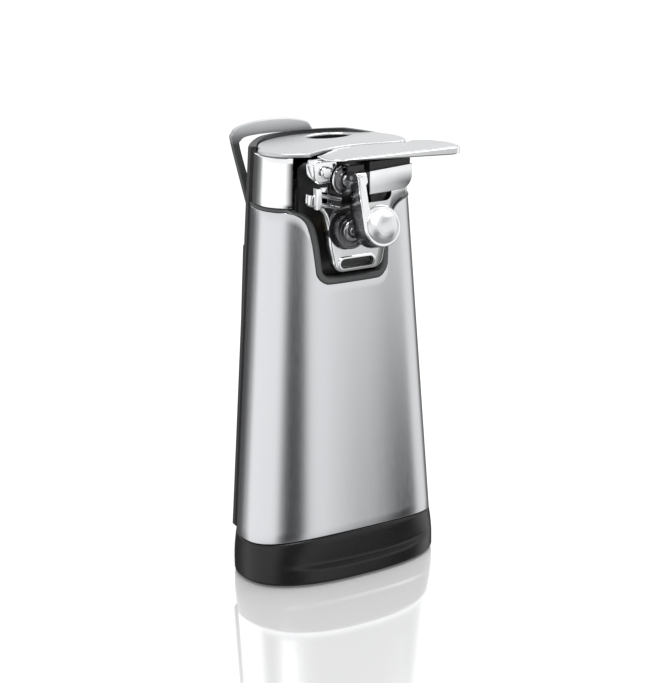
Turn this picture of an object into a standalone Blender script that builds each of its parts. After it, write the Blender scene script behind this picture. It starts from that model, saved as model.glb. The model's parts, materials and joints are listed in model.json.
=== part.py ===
"""Electric can opener with a lever top, a magnet arm, a knife sharpener and a docked multi-tool.

Blender 4.5, +Z up. Sizes are written in millimetres and become metres through MM.
The body's own frame has X to the right seen from the front, the front facing -Y, and the
floor at Z = 0. The rig empty moves that frame so that the whole object is centred over the origin.
"""

import math

import bpy
import bmesh
from mathutils import Matrix, Vector

MM = 0.001
GAP = 0.3

# Body: a rounded plan that narrows from the floor to the top plate
TOP_Z = 247.0
BASE_HALF_WIDTH = 63.0
TOP_HALF_WIDTH = 45.0
BASE_FRONT_DEPTH = 35.0
TOP_FRONT_DEPTH = 24.5
BASE_REAR_DEPTH = 43.0
TOP_REAR_DEPTH = 36.0
TOP_CENTRE_Y = 4.7
FRONT_ROUNDNESS = 2.5
REAR_ROUNDNESS = 2.0
SEAM_TURN = 112.0

# Base moulding
BASE_BOTTOM_Z = 1.2
WAVE_MIDDLE_Z = 27.3
WAVE_HEIGHT = 2.6
BASE_WALL = 3.0

# Shoulder line, head and bib recess
SHOULDER_Z = 214.6
HEAD_BOTTOM_Z = 216.6
HEAD_TOP_Z = 244.2
HEAD_LEFT_EDGE_X = 35.0
HEAD_RIGHT_EDGE_X = 38.8
PLATE_BOTTOM_Z = 244.6
REAR_RIM_Z = 249.0
SEAM_RIM_Z = 246.4
RIM_RUN_OUT = 30.0
BIB_X = -2.0
BIB_BOTTOM_Z = 174.0
BIB_HALF_WIDTH = 23.5
RIM_WIDTH = 3.8
RECESS_Y = -13.6
RECESS_THICKNESS = 1.8

# Face plate and drive
FACE_Y = -29.0
FACE_BACK_Y = -24.5
DRIVE_X = -9.8
DRIVE_Z = 205.5
FEED_RADIUS = 10.4
FEED_TEETH = 32
SHAFT_RADIUS = 3.0
MODULE_OUTPUT = 1.0
OUTPUT_TEETH = 40
PINION_TEETH = 12
MODULE_MOTOR = 0.7
WHEEL_TEETH = 48
MOTOR_TEETH = 10
IDLER_OFFSET_X = 9.0
MOTOR_RADIUS = 19.0
AXLE_RADIUS = 2.0
PLATE_FRONT_Y = -10.8
PLATE_BACK_Y = 8.9
CENTRE_DISTANCE = (OUTPUT_TEETH + PINION_TEETH) * MODULE_OUTPUT / 2
IDLER_X = DRIVE_X + IDLER_OFFSET_X
IDLER_Z = DRIVE_Z - math.sqrt(CENTRE_DISTANCE ** 2 - IDLER_OFFSET_X ** 2)
DOWN_TO_IDLER = math.degrees(math.atan2(IDLER_Z - DRIVE_Z, IDLER_OFFSET_X))
MOTOR_Z = IDLER_Z - (WHEEL_TEETH + MOTOR_TEETH) * MODULE_MOTOR / 2
SWITCH_PLACE = (20.0, 235.0)
GLAND_Z = 9.2

# Lever, cutter and magnet
LEVER_TOP_Z = 246.6
LEVER_BOTTOM_Z = 242.2
PIN_RADIUS = 2.0
LEVER_FRONT_Y = -41.3
LEVER_TIP_X = 59.5
LEVER_PIVOT_X = -25.0
LEVER_PIVOT_Z = 238.4
CUTTER_X = -13.0
CUTTER_Z = 233.6
CUTTER_RADIUS = 8.3
MAGNET_HINGE_Y = -41.0
MAGNET_HINGE_Z = 236.0
MAGNET_TILT = -16.0
ARM_X = -9.8
MAGNET_X = -1.6
MAGNET_AHEAD_X = MAGNET_X - ARM_X
MAGNET_DROP = 27.5
CAP_RADIUS = 11.4

# Dock and multi-tool at the back
DOCK_BACK_Y = 51.5
DOCK_TOP_Z = 184.0
DOCK_BOTTOM_Z = 16.0
DOCK_TOP_HALF_WIDTH = 33.0
DOCK_BASE_HALF_WIDTH = 41.0
TOOL_X = -13.5
TOOL_Y = 46.6
TOOL_THICKNESS = 3.2
TOOL_TOP_Z = 256.0
TOOL_BOTTOM_Z = 104.0
DOCK_FLOOR_Z = 102.0
DOCK_CLEARANCE = 1.1

# The magnet cap reaches 4 mm further forward than the dock reaches back
CENTRE_SHIFT_Y = 3.0

MATERIALS = {}
PARTS = None
CUTTERS = None
RIG = None


def clear_scene():
    for item in list(bpy.data.objects):
        bpy.data.objects.remove(item, do_unlink=True)


def make_collections():
    global PARTS, CUTTERS, RIG
    scene = bpy.context.scene
    PARTS = bpy.data.collections.new("electric_can_opener")
    CUTTERS = bpy.data.collections.new("cutters")
    scene.collection.children.link(PARTS)
    scene.collection.children.link(CUTTERS)
    RIG = bpy.data.objects.new("rig", None)
    RIG.location = (0, CENTRE_SHIFT_Y * MM, 0)
    PARTS.objects.link(RIG)


def material(name, colour, roughness, metallic):
    made = bpy.data.materials.new(name)
    made.use_nodes = True
    shader = made.node_tree.nodes["Principled BSDF"]
    shader.inputs["Base Color"].default_value = (*colour, 1)
    shader.inputs["Roughness"].default_value = roughness
    shader.inputs["Metallic"].default_value = metallic
    MATERIALS[name] = made


def make_materials():
    material("brushed_steel", (0.62, 0.63, 0.65), 0.32, 1.0)
    material("chrome", (0.85, 0.86, 0.88), 0.06, 1.0)
    material("satin_silver", (0.66, 0.67, 0.69), 0.38, 0.8)
    material("black_plastic", (0.022, 0.023, 0.025), 0.35, 0.0)
    material("grey_plastic", (0.075, 0.078, 0.08), 0.42, 0.0)
    material("hard_steel", (0.5, 0.5, 0.52), 0.25, 1.0)
    material("zinc_steel", (0.55, 0.56, 0.58), 0.4, 1.0)
    material("nylon", (0.82, 0.8, 0.72), 0.5, 0.0)
    material("rubber", (0.03, 0.03, 0.03), 0.8, 0.0)
    material("brass", (0.75, 0.58, 0.28), 0.35, 1.0)
    material("stone", (0.5, 0.49, 0.46), 0.9, 0.0)


# ---------------------------------------------------------------- mesh helpers

def finish_object(name, mesh, finish, parent=None, smooth=True):
    """Links a mesh as a named sub-part with its own copy of a finish."""
    made = bpy.data.objects.new(name, mesh)
    own = MATERIALS[finish].copy()
    own.name = name + "_" + finish
    mesh.materials.clear()
    mesh.materials.append(own)
    PARTS.objects.link(made)
    made.parent = parent or RIG
    if smooth:
        mesh.shade_smooth()
        mesh.set_sharp_from_angle(angle=math.radians(35))
    return made


def mesh_from(bm, name):
    bmesh.ops.recalc_face_normals(bm, faces=bm.faces)
    mesh = bpy.data.meshes.new(name)
    bm.to_mesh(mesh)
    bm.free()
    return mesh


def join_rows(bm, rows, ring):
    """Quads between rows of vertices. With ring, each row closes on itself."""
    for low, high in zip(rows, rows[1:]):
        count = len(low)
        for i in range(count if ring else count - 1):
            j = (i + 1) % count
            bm.faces.new((low[i], low[j], high[j], high[i]))


def loft(name, loops, finish, parent=None, capped=True):
    """A solid through closed loops. Without caps the last loop joins the first, which makes a ring."""
    bm = bmesh.new()
    rows = [[bm.verts.new(Vector(p) * MM) for p in loop] for loop in loops]
    join_rows(bm, rows if capped else rows + [rows[0]], True)
    if capped:
        bm.faces.new(rows[0])
        bm.faces.new(rows[-1])
    return finish_object(name, mesh_from(bm, name), finish, parent)


def plan_point(turn, z, inset=0.0):
    """A point of the body's outline at height z. Turn is 0 at the front and 90 at the right side."""
    share = z / TOP_Z
    half_width = BASE_HALF_WIDTH + (TOP_HALF_WIDTH - BASE_HALF_WIDTH) * share - inset
    front = BASE_FRONT_DEPTH + (TOP_FRONT_DEPTH - BASE_FRONT_DEPTH) * share - inset
    rear = BASE_REAR_DEPTH + (TOP_REAR_DEPTH - BASE_REAR_DEPTH) * share - inset
    sine = math.sin(math.radians(turn))
    cosine = math.cos(math.radians(turn))
    roundness, depth = (FRONT_ROUNDNESS, front) if cosine > 0 else (REAR_ROUNDNESS, rear)
    x = half_width * math.copysign(abs(sine) ** (2 / roundness), sine)
    y = TOP_CENTRE_Y * share - depth * math.copysign(abs(cosine) ** (2 / roundness), cosine)
    return (x, y, z)


def turn_at(x, z, inset=0.0):
    """The turn of the front outline's point that lies at x."""
    half_width = plan_point(90, z, inset)[0]
    share = min(1.0, abs(x) / half_width)
    return math.copysign(math.degrees(math.asin(share ** (FRONT_ROUNDNESS / 2))), x)


def plan_loop(z, inset=0.0, count=56):
    return [plan_point(360.0 * i / count, z, inset) for i in range(count)]


def wave_z(turn):
    """The height of the line between the base and the steel."""
    return WAVE_MIDDLE_Z + WAVE_HEIGHT * math.cos(2 * math.radians(turn))


def patch(name, lower, upper, outside, inside, finish, rows=1):
    """A curved wall on the body's outline between two lines of (turn, z), from one inset to another."""
    bm = bmesh.new()
    grids = []
    for inset in (outside, inside):
        grid = []
        for r in range(rows + 1):
            share = r / rows
            line = []
            for (turn_a, z_a), (turn_b, z_b) in zip(lower, upper):
                turn = turn_a + (turn_b - turn_a) * share
                line.append(bm.verts.new(Vector(plan_point(turn, z_a + (z_b - z_a) * share, inset)) * MM))
            grid.append(line)
        grids.append(grid)
    outer, inner = grids
    join_rows(bm, outer, False)
    join_rows(bm, inner, False)
    join_rows(bm, [outer[0], inner[0]], False)
    join_rows(bm, [outer[-1], inner[-1]], False)
    for column in (0, -1):
        join_rows(bm, [[row[column] for row in outer], [row[column] for row in inner]], False)
    return finish_object(name, mesh_from(bm, name), finish)


def flat_mesh(name, outline, thickness):
    """A flat outline in local XY, centred on local Z, as a welded mesh."""
    curve = bpy.data.curves.new(name, "CURVE")
    curve.dimensions = "2D"
    curve.fill_mode = "BOTH"
    curve.extrude = thickness * MM / 2
    for points in outline:
        spline = curve.splines.new("POLY")
        spline.points.add(len(points) - 1)
        for point, (x, y) in zip(spline.points, points):
            point.co = (x * MM, y * MM, 0, 1)
        spline.use_cyclic_u = True
    holder = bpy.data.objects.new(name + "_outline", curve)
    bpy.context.scene.collection.objects.link(holder)
    bpy.context.view_layer.update()
    graph = bpy.context.evaluated_depsgraph_get()
    mesh = bpy.data.meshes.new_from_object(holder.evaluated_get(graph))
    bpy.data.objects.remove(holder, do_unlink=True)
    bm = bmesh.new()
    bm.from_mesh(mesh)
    bmesh.ops.remove_doubles(bm, verts=bm.verts, dist=0.00002)
    bmesh.ops.recalc_face_normals(bm, faces=bm.faces)
    bm.to_mesh(mesh)
    bm.free()
    return mesh


def standing(name, outline, y_front, y_back, finish, parent=None):
    """A flat piece drawn in X and Z, between two depths."""
    made = finish_object(name, flat_mesh(name, outline, y_back - y_front), finish, parent)
    made.rotation_euler = (math.radians(90), 0, 0)
    made.location = Vector((0, (y_front + y_back) / 2, 0)) * MM
    return made


def lying(name, outline, z_low, z_high, finish, parent=None):
    """A flat piece drawn in X and Y, between two heights."""
    made = finish_object(name, flat_mesh(name, outline, z_high - z_low), finish, parent)
    made.location = Vector((0, 0, (z_low + z_high) / 2)) * MM
    return made


def box(name, low, high, finish, parent=None, bevel=0.0):
    bm = bmesh.new()
    bmesh.ops.create_cube(bm, size=1.0)
    size = Vector(high) - Vector(low)
    bmesh.ops.scale(bm, vec=size * MM, verts=bm.verts)
    made = finish_object(name, mesh_from(bm, name), finish, parent, smooth=False)
    made.location = (Vector(high) + Vector(low)) / 2 * MM
    if bevel:
        add_bevel(made, bevel)
    return made


def add_bevel(made, width, segments=2):
    bevel = made.modifiers.new("edges", "BEVEL")
    bevel.width = width * MM
    bevel.segments = segments
    bevel.limit_method = "ANGLE"
    bevel.angle_limit = math.radians(40)


def cylinder_mesh(name, radius, length, sides=28):
    bm = bmesh.new()
    bmesh.ops.create_cone(bm, cap_ends=True, segments=sides, radius1=radius * MM,
                          radius2=radius * MM, depth=length * MM)
    return mesh_from(bm, name)


AXIS_TURN = {"X": (0, math.radians(90), 0), "Y": (math.radians(90), 0, 0), "Z": (0, 0, 0)}


def rod(name, axis, radius, start, end, finish, parent=None, sides=28):
    """A cylinder along an axis between two points."""
    start, end = Vector(start), Vector(end)
    made = finish_object(name, cylinder_mesh(name, radius, (end - start).length, sides), finish, parent)
    made.rotation_euler = AXIS_TURN[axis]
    made.location = (start + end) / 2 * MM
    return made


def turned(name, profile, place, finish, parent=None, steps=32, facing_front=True):
    """A turned piece whose profile is (radius, distance in front of its place) from front to back."""
    mesh = bpy.data.meshes.new(name)
    points = [(radius * MM, 0, ahead * MM) for radius, ahead in profile]
    mesh.from_pydata(points, [(i, i + 1) for i in range(len(points) - 1)], [])
    made = finish_object(name, mesh, finish, parent, smooth=False)
    screw = made.modifiers.new("turn", "SCREW")
    screw.axis = "Z"
    screw.angle = math.radians(360)
    screw.steps = steps
    screw.render_steps = steps
    screw.use_merge_vertices = True
    screw.merge_threshold = 0.00001
    screw.use_smooth_shade = True
    made.rotation_euler = (math.radians(90), 0, 0) if facing_front else (0, 0, 0)
    made.location = Vector(place) * MM
    return made


def cut(made, cutter):
    """Cuts a shape out of a part. The cutter stays in its own collection."""
    for collection in list(cutter.users_collection):
        collection.objects.unlink(cutter)
    CUTTERS.objects.link(cutter)
    cutter.hide_render = True
    cutter.display_type = "WIRE"
    boolean = made.modifiers.new("cut_" + cutter.name, "BOOLEAN")
    boolean.operation = "DIFFERENCE"
    boolean.object = cutter


def join(made, other):
    """Adds a shape to a part. The added shape stays with the cutters."""
    cut(made, other)
    made.modifiers[-1].operation = "UNION"


def hole(made, axis, radius, start, end, sides=28):
    cut(made, rod(made.name + "_hole_" + str(len(made.modifiers)), axis, radius, start, end,
                  "black_plastic", made.parent, sides))


def arc(x, y, radius, start, end, steps=6):
    """Points of an arc, its angles in degrees, anticlockwise from +X."""
    angles = [math.radians(start + (end - start) * i / steps) for i in range(steps + 1)]
    return [(x + radius * math.cos(a), y + radius * math.sin(a)) for a in angles]


def rounded_rectangle(low_x, low_y, high_x, high_y, radius, steps=4):
    return (arc(high_x - radius, low_y + radius, radius, -90, 0, steps)
            + arc(high_x - radius, high_y - radius, radius, 0, 90, steps)
            + arc(low_x + radius, high_y - radius, radius, 90, 180, steps)
            + arc(low_x + radius, low_y + radius, radius, 180, 270, steps))


def gear_outline(teeth, module, phase=0.0):
    """Straight-flanked teeth about the pitch circle, with a little backlash."""
    pitch = teeth * module / 2
    points = []
    for tooth in range(teeth):
        middle = 2 * math.pi * (tooth + phase) / teeth
        pace = 2 * math.pi / teeth
        for offset, radius in ((-0.30, pitch - 1.1 * module), (-0.20, pitch), (-0.09, pitch + 0.8 * module),
                               (0.09, pitch + 0.8 * module), (0.20, pitch), (0.30, pitch - 1.1 * module)):
            angle = middle + offset * pace
            points.append((radius * math.cos(angle), radius * math.sin(angle)))
    return points


def shifted(points, dx, dy):
    return [(x + dx, y + dy) for x, y in points]


# ---------------------------------------------------------------- base and body

def base_shell():
    """The black base: a ring-shaped wall whose top follows the wave and carries the steel."""
    count = 56
    turns = [360.0 * i / count for i in range(count)]
    loops = [
        [plan_point(t, BASE_BOTTOM_Z, 1.6) for t in turns],
        [plan_point(t, BASE_BOTTOM_Z + 1.4, 0.0) for t in turns],
        [plan_point(t, 14.0, -0.4) for t in turns],
        [plan_point(t, wave_z(t) - 1.0, -0.5) for t in turns],
        [plan_point(t, wave_z(t) - GAP, 0.4) for t in turns],
        [plan_point(t, wave_z(t) - GAP, BASE_WALL) for t in turns],
        [plan_point(t, 12.0, BASE_WALL) for t in turns],
        [plan_point(t, BASE_BOTTOM_Z, BASE_WALL) for t in turns],
    ]
    made = loft("base_shell", loops, "black_plastic", capped=False)
    hole(made, "Y", 4.7, (0, 30, GLAND_Z), (0, 60, GLAND_Z))
    return made


def bottom_cover():
    loops = [plan_loop(BASE_BOTTOM_Z + 0.2, BASE_WALL + 0.5), plan_loop(4.0, BASE_WALL + 0.5)]
    return loft("bottom_cover", loops, "black_plastic")


FOOT_PLACES = [(-44.0, -16.0), (44.0, -16.0), (-36.0, 24.0), (36.0, 24.0)]
SCREW_PLACES = [(-46.0, 2.0), (46.0, 2.0), (0.0, -24.0), (0.0, 33.0)]


def feet():
    for number, (x, y) in enumerate(FOOT_PLACES, 1):
        rod(f"foot_{number}", "Z", 6.0, (x, y, 0), (x, y, BASE_BOTTOM_Z + 0.2 - 0.05), "rubber")


def base_screws(cover):
    """Four screws up into the base, each in its own counterbore."""
    for number, (x, y) in enumerate(SCREW_PLACES, 1):
        hole(cover, "Z", 3.6, (x, y, 0), (x, y, 2.9), sides=20)
        hole(cover, "Z", 1.9, (x, y, 2.0), (x, y, 6.0), sides=16)
        screw = rod(f"base_screw_{number}", "Z", 3.2, (x, y, 1.6), (x, y, 2.6), "zinc_steel", sides=20)
        join(screw, rod(f"screw_shank_{number}", "Z", 1.5, (x, y, 2.0), (x, y, 12.0), "zinc_steel", sides=16))


def bib_line(grow=0.0):
    """The edge of the steel around the bib, from the left shoulder to the right, as (x, z)."""
    half = BIB_HALF_WIDTH + grow
    bottom = BIB_BOTTOM_Z - grow
    corner = 8.5 + grow
    left = [(BIB_X - half - 14.0, SHOULDER_Z), (BIB_X - half - 9.5, SHOULDER_Z - 1.2)]
    left += [(BIB_X - half - 5.2, SHOULDER_Z - 4.8), (BIB_X - half - 2.8, SHOULDER_Z - 10.5)]
    left += [(BIB_X - half - 1.2, SHOULDER_Z - 20.0)]
    curve = arc(BIB_X - half + corner, bottom + corner, corner, 180, 270, 5)
    mirrored = [(2 * BIB_X - x, z) for x, z in reversed(left + curve)]
    return left + curve + mirrored


def shoulder_columns(grow=0.0, side_steps=11):
    """Columns of (turn, z) along the steel's top edge from seam to seam."""
    middle = [(turn_at(x, z), z) for x, z in bib_line(grow)]
    first, last = middle[0][0], middle[-1][0]
    left = [(-SEAM_TURN + (first + SEAM_TURN) * i / side_steps, SHOULDER_Z) for i in range(side_steps)]
    right = [(last + (SEAM_TURN - last) * (i + 1) / side_steps, SHOULDER_Z) for i in range(side_steps)]
    return left + middle + right


def steel_wrap():
    upper = shoulder_columns()
    lower = [(turn, wave_z(turn) + 0.2) for turn, _ in upper]
    return patch("steel_wrap", lower, upper, 0.0, 0.8, "brushed_steel", rows=3)


def inner_body():
    upper = [(turn, z - 0.6) for turn, z in shoulder_columns()]
    lower = [(turn, wave_z(turn) + 0.2) for turn, _ in upper]
    return patch("inner_body", lower, upper, 1.1, 2.9, "black_plastic", rows=2)


def rear_columns(z, steps=16):
    """Columns of (turn, z) round the back, from the right seam to the left one."""
    start, end = SEAM_TURN + 0.5, 360.0 - SEAM_TURN - 0.5
    return [(start + (end - start) * i / steps, z) for i in range(steps + 1)]


def rear_rim_z(turn):
    """The rim stands over the plate at the back and runs down to it at the seams."""
    share = min(1.0, min(turn - SEAM_TURN, 360.0 - SEAM_TURN - turn) / RIM_RUN_OUT)
    return SEAM_RIM_Z + (REAR_RIM_Z - SEAM_RIM_Z) * share


def rear_housing():
    lower = [(turn, wave_z(turn) + 0.2) for turn, _ in rear_columns(0)]
    upper = [(turn, rear_rim_z(turn)) for turn, _ in rear_columns(0)]
    return patch("rear_housing", lower, upper, 0.0, 2.2, "black_plastic", rows=3)


def head_covers():
    """The two chrome sides of the head, from the bib to the seams."""
    for name, side, edge_x in (("head_cover_left", -1, HEAD_LEFT_EDGE_X), ("head_cover_right", 1, HEAD_RIGHT_EDGE_X)):
        edge = turn_at(edge_x, HEAD_TOP_Z)
        steps = 10
        turns = [side * (edge + (SEAM_TURN - edge) * i / steps) for i in range(steps + 1)]
        lower = [(t, HEAD_BOTTOM_Z) for t in turns]
        upper = [(t, HEAD_TOP_Z) for t in turns]
        patch(name, lower, upper, 0.4, 2.4, "chrome")


def shoulder_trim():
    """The dark bezel: a wide lip round the bib and a thin line under the head."""
    outer = shoulder_columns(-GAP)
    inner = shoulder_columns(-RIM_WIDTH)
    raised = []
    for (turn_a, _), (turn_b, z_b) in zip(outer, inner):
        on_side = z_b >= SHOULDER_Z
        raised.append((turn_a if on_side else turn_b, z_b + 1.7 if on_side else z_b))
    lower = [(turn, z + (GAP if z >= SHOULDER_Z else 0.0)) for turn, z in outer]
    return patch("shoulder_trim", lower, raised, -0.7, 3.2, "grey_plastic")


def recess_panel():
    """The flat black wall behind the cutting parts."""
    outline = rounded_rectangle(-31.5, 176.0, 31.5, 241.7, 6.0)
    made = standing("recess_panel", [outline], RECESS_Y, RECESS_Y + RECESS_THICKNESS, "black_plastic")
    hole(made, "Y", SHAFT_RADIUS + 4.2, (DRIVE_X, -20, DRIVE_Z), (DRIVE_X, 0, DRIVE_Z))
    hole(made, "Y", 2.0, (SWITCH_PLACE[0], -20, SWITCH_PLACE[1]), (SWITCH_PLACE[0], 0, SWITCH_PLACE[1]), sides=20)
    hole(made, "Y", PIN_RADIUS + 0.2, (LEVER_PIVOT_X, -20, LEVER_PIVOT_Z), (LEVER_PIVOT_X, 0, LEVER_PIVOT_Z))
    hole(made, "Y", AXLE_RADIUS + 0.3, (IDLER_X, -20, IDLER_Z), (IDLER_X, 0, IDLER_Z), sides=20)
    return made


# ---------------------------------------------------------------- top

def lever_gap_line():
    """The gentle curve where the plate meets the lever, from left to right, as (x, y)."""
    return [(-25.5, -17.0), (-18.0, -13.2), (-9.5, -9.8), (0.0, -7.6), (10.0, -7.2), (20.0, -8.6),
            (30.0, -10.4), (38.5, -11.4)]


def top_plate():
    left_turn = turn_at(-26.0, TOP_Z, -0.8)
    right_turn = turn_at(40.0, TOP_Z, -0.8)
    steps = 40
    sweep = 360.0 + left_turn - right_turn
    rim = []
    for i in range(steps + 1):
        turn = right_turn + sweep * i / steps
        behind = SEAM_TURN - 8 < turn < 360 - SEAM_TURN + 8
        rim.append(plan_point(turn, TOP_Z, 3.0 if behind else -0.8)[:2])
    made = lying("top_plate", [rim + lever_gap_line()], PLATE_BOTTOM_Z, TOP_Z, "satin_silver")
    hole_cutter = lying("sharpener_opening", [shifted(ellipse(14.2, 8.2), *SHARPENER)], 240.0, 250.0,
                        "black_plastic")
    cut(made, hole_cutter)
    add_bevel(made, 0.6, 1)
    return made


SHARPENER = (11.5, 25.0)


def ellipse(half_x, half_y, steps=28):
    angles = [2 * math.pi * i / steps for i in range(steps)]
    return [(half_x * math.cos(a), half_y * math.sin(a)) for a in angles]


def sharpener():
    """The insert under the oval opening, with a slot over two crossed stones."""
    x, y = SHARPENER
    insert = lying("sharpener_insert", [shifted(ellipse(13.8, 7.8), x, y)], 226.0, 245.2, "black_plastic")
    cut(insert, box("sharpener_dish", (x - 11.5, y - 5.6, 242.4), (x + 11.5, y + 5.6, 250.0), "black_plastic"))
    cut(insert, box("sharpener_slot", (x - 9.0, y - 2.6, 230.0), (x + 9.0, y + 2.6, 250.0), "black_plastic"))
    for name, offset in (("sharpening_stone_left", -2.7), ("sharpening_stone_right", 2.7)):
        rod(name, "Y", 2.4, (x + offset, y - 2.2, 237.0), (x + offset, y + 2.2, 237.0), "stone", sides=18)


# ---------------------------------------------------------------- face plate and drive

def face_outline():
    """The face plate's outline in X and Z: a rounded bib with a wing at each upper corner."""
    bottom, half, corner = 181.3, 16.3, 6.5
    right = arc(BIB_X + half - corner, bottom + corner, corner, -90, 0, 5)
    right += [(BIB_X + 18.3, 196.5), (BIB_X + 19.0, 203.0), (BIB_X + 20.2, 209.0), (BIB_X + 22.4, 215.0)]
    right += [(BIB_X + 27.0, 218.6), (BIB_X + 31.3, 220.5), (BIB_X + 31.3, 226.4)]
    left = [(2 * BIB_X - x, z) for x, z in reversed(right)]
    return right + left


def face_plate():
    made = standing("face_plate", [face_outline()], FACE_Y, FACE_BACK_Y, "chrome")
    pocket = rounded_rectangle(BIB_X - 12.5, 183.4, BIB_X + 9.1, 188.9, 2.7)
    cut(made, standing("pocket_shape", [pocket], FACE_Y - 3, FACE_Y + 3.4, "chrome"))
    hole(made, "Y", SHAFT_RADIUS + 2.3, (DRIVE_X, -40, DRIVE_Z), (DRIVE_X, 0, DRIVE_Z))
    add_bevel(made, 0.8, 1)
    for number, x in enumerate((BIB_X - 12.0, BIB_X + 14.0), 1):
        rod(f"face_spacer_{number}", "Y", 3.5, (x, FACE_BACK_Y + GAP, 220.0), (x, RECESS_Y - GAP, 220.0),
            "black_plastic", sides=20)


def can_guide():
    """The bracket left of the wheels that steadies the can's rim, with its two bars."""
    made = box("can_guide", (-31.5, -33.4, 218.9), (-28.6, FACE_Y - GAP, 230.4), "chrome")
    join(made, box("guide_back", (-31.5, -31.0, 218.9), (-23.6, FACE_Y - GAP, 230.4), "chrome"))
    join(made, rod("guide_bar_upper", "X", 1.1, (-30.0, -32.2, 226.6), (-24.4, -32.2, 226.6), "chrome", sides=14))
    join(made, rod("guide_bar_lower", "X", 1.1, (-30.0, -32.2, 220.4), (-21.8, -32.2, 220.4), "chrome", sides=14))
    return made


def drive_train():
    """The shaft, its bush and the geared train from the motor up to the feed wheel."""
    feed_wheel()
    rod("drive_shaft", "Y", SHAFT_RADIUS, (DRIVE_X, -30.3, DRIVE_Z), (DRIVE_X, 8.6, DRIVE_Z), "zinc_steel")
    inner, middle, flange = SHAFT_RADIUS + 0.1, SHAFT_RADIUS + 2.0, SHAFT_RADIUS + 3.8
    turned("shaft_bush", [(inner, 5.0), (middle, 5.0), (middle, -1.2), (flange, -1.2), (flange, -9.0),
                          (inner, -9.0), (inner, 5.0)], (DRIVE_X, -23.6, DRIVE_Z), "brass")
    output = gear("output_gear", OUTPUT_TEETH, MODULE_OUTPUT, DRIVE_X, DRIVE_Z, -6.0, -2.0,
                  DOWN_TO_IDLER * OUTPUT_TEETH / 360 - 0.5)
    hole(output, "Y", SHAFT_RADIUS + 0.1, (DRIVE_X, -20, DRIVE_Z), (DRIVE_X, 20, DRIVE_Z))
    compound = gear("compound_gear", WHEEL_TEETH, MODULE_MOTOR, IDLER_X, IDLER_Z, 2.0, 6.0, 0.0)
    join(compound, gear("compound_pinion", PINION_TEETH, MODULE_OUTPUT, IDLER_X, IDLER_Z, -6.4, 3.0,
                        (DOWN_TO_IDLER + 180) * PINION_TEETH / 360))
    hole(compound, "Y", AXLE_RADIUS + 0.1, (IDLER_X, -20, IDLER_Z), (IDLER_X, 20, IDLER_Z), sides=20)
    rod("idler_axle", "Y", AXLE_RADIUS, (IDLER_X, -11.6, IDLER_Z), (IDLER_X, 10.0, IDLER_Z), "zinc_steel", sides=20)


def gear(name, teeth, module, x, z, y_front, y_back, phase):
    outline = shifted(gear_outline(teeth, module, phase), x, z)
    made = standing(name, [outline], y_front, y_back, "nylon")
    made.data.set_sharp_from_angle(angle=math.radians(20))
    return made


def feed_wheel():
    """A disc with small square teeth on its rim and a raised hub."""
    outline = gear_outline(FEED_TEETH, 2 * (FEED_RADIUS - 0.5) / FEED_TEETH)
    wheel = standing("feed_wheel", [shifted(outline, DRIVE_X, DRIVE_Z)], -34.4, -30.6, "hard_steel")
    join(wheel, rod("feed_hub", "Y", 6.4, (DRIVE_X, -35.8, DRIVE_Z), (DRIVE_X, -32.0, DRIVE_Z), "hard_steel"))
    return wheel


def gearbox():
    """Two steel plates, held apart by posts, that carry the train and the motor."""
    outline = rounded_rectangle(-32.0, 139.0, 24.0, 228.0, 5.0)
    front = standing("gear_plate_front", [outline], PLATE_FRONT_Y, PLATE_FRONT_Y + 1.2, "zinc_steel")
    back = standing("gear_plate_back", [outline], PLATE_BACK_Y, PLATE_BACK_Y + 1.2, "zinc_steel")
    for plate in (front, back):
        hole(plate, "Y", SHAFT_RADIUS + 0.3, (DRIVE_X, -20, DRIVE_Z), (DRIVE_X, 20, DRIVE_Z))
        hole(plate, "Y", AXLE_RADIUS + 0.1, (IDLER_X, -20, IDLER_Z), (IDLER_X, 20, IDLER_Z), sides=20)
    hole(back, "Y", 3.0, (IDLER_X, 0, MOTOR_Z), (IDLER_X, 20, MOTOR_Z))
    for number, (x, z) in enumerate([(19.5, 223.5), (19.5, 144.0), (-27.0, 144.0)], 1):
        rod(f"gearbox_post_{number}", "Y", 2.6, (x, PLATE_FRONT_Y + 1.2 + GAP, z), (x, PLATE_BACK_Y - GAP, z),
            "zinc_steel", sides=16)


def motor():
    can = rod("motor_can", "Y", MOTOR_RADIUS, (IDLER_X, PLATE_BACK_Y + 1.5, MOTOR_Z), (IDLER_X, 33.5, MOTOR_Z),
              "zinc_steel", sides=32)
    hole(can, "Y", 2.2, (IDLER_X, 0, MOTOR_Z), (IDLER_X, 16.0, MOTOR_Z), sides=20)
    pinion = gear("motor_pinion", MOTOR_TEETH, MODULE_MOTOR, IDLER_X, MOTOR_Z, 1.6, 7.0, 0.0)
    join(pinion, rod("motor_shaft", "Y", 1.6, (IDLER_X, 5.0, MOTOR_Z), (IDLER_X, 15.6, MOTOR_Z), "zinc_steel",
                     sides=20))


def switch():
    """The switch box behind the recess, and the sprung plunger that the lever pushes in."""
    x, z = SWITCH_PLACE
    body = box("switch_box", (x - 7, -9.2, z - 5), (x + 7, 6.0, z + 6.5), "black_plastic")
    hole(body, "Y", 1.9, (x, -20, z), (x, -2.0, z), sides=20)
    plunger = rod("switch_plunger", "Y", 1.5, (x, -19.5, z), (x, -6.5, z), "grey_plastic", sides=20)
    join(plunger, rod("plunger_cap", "Y", 2.6, (x, -19.5, z), (x, -17.5, z), "grey_plastic", sides=20))


def cord_gland():
    """The inlet for the mains lead at the back of the base."""
    turned("cord_gland", [(3.0, 7.5), (4.3, 7.5), (4.3, -0.6), (6.2, -0.6), (6.2, -3.0), (3.0, -3.0), (3.0, 7.5)],
           (0, 43.6, GLAND_Z), "rubber")


# ---------------------------------------------------------------- lever, cutter and magnet

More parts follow.
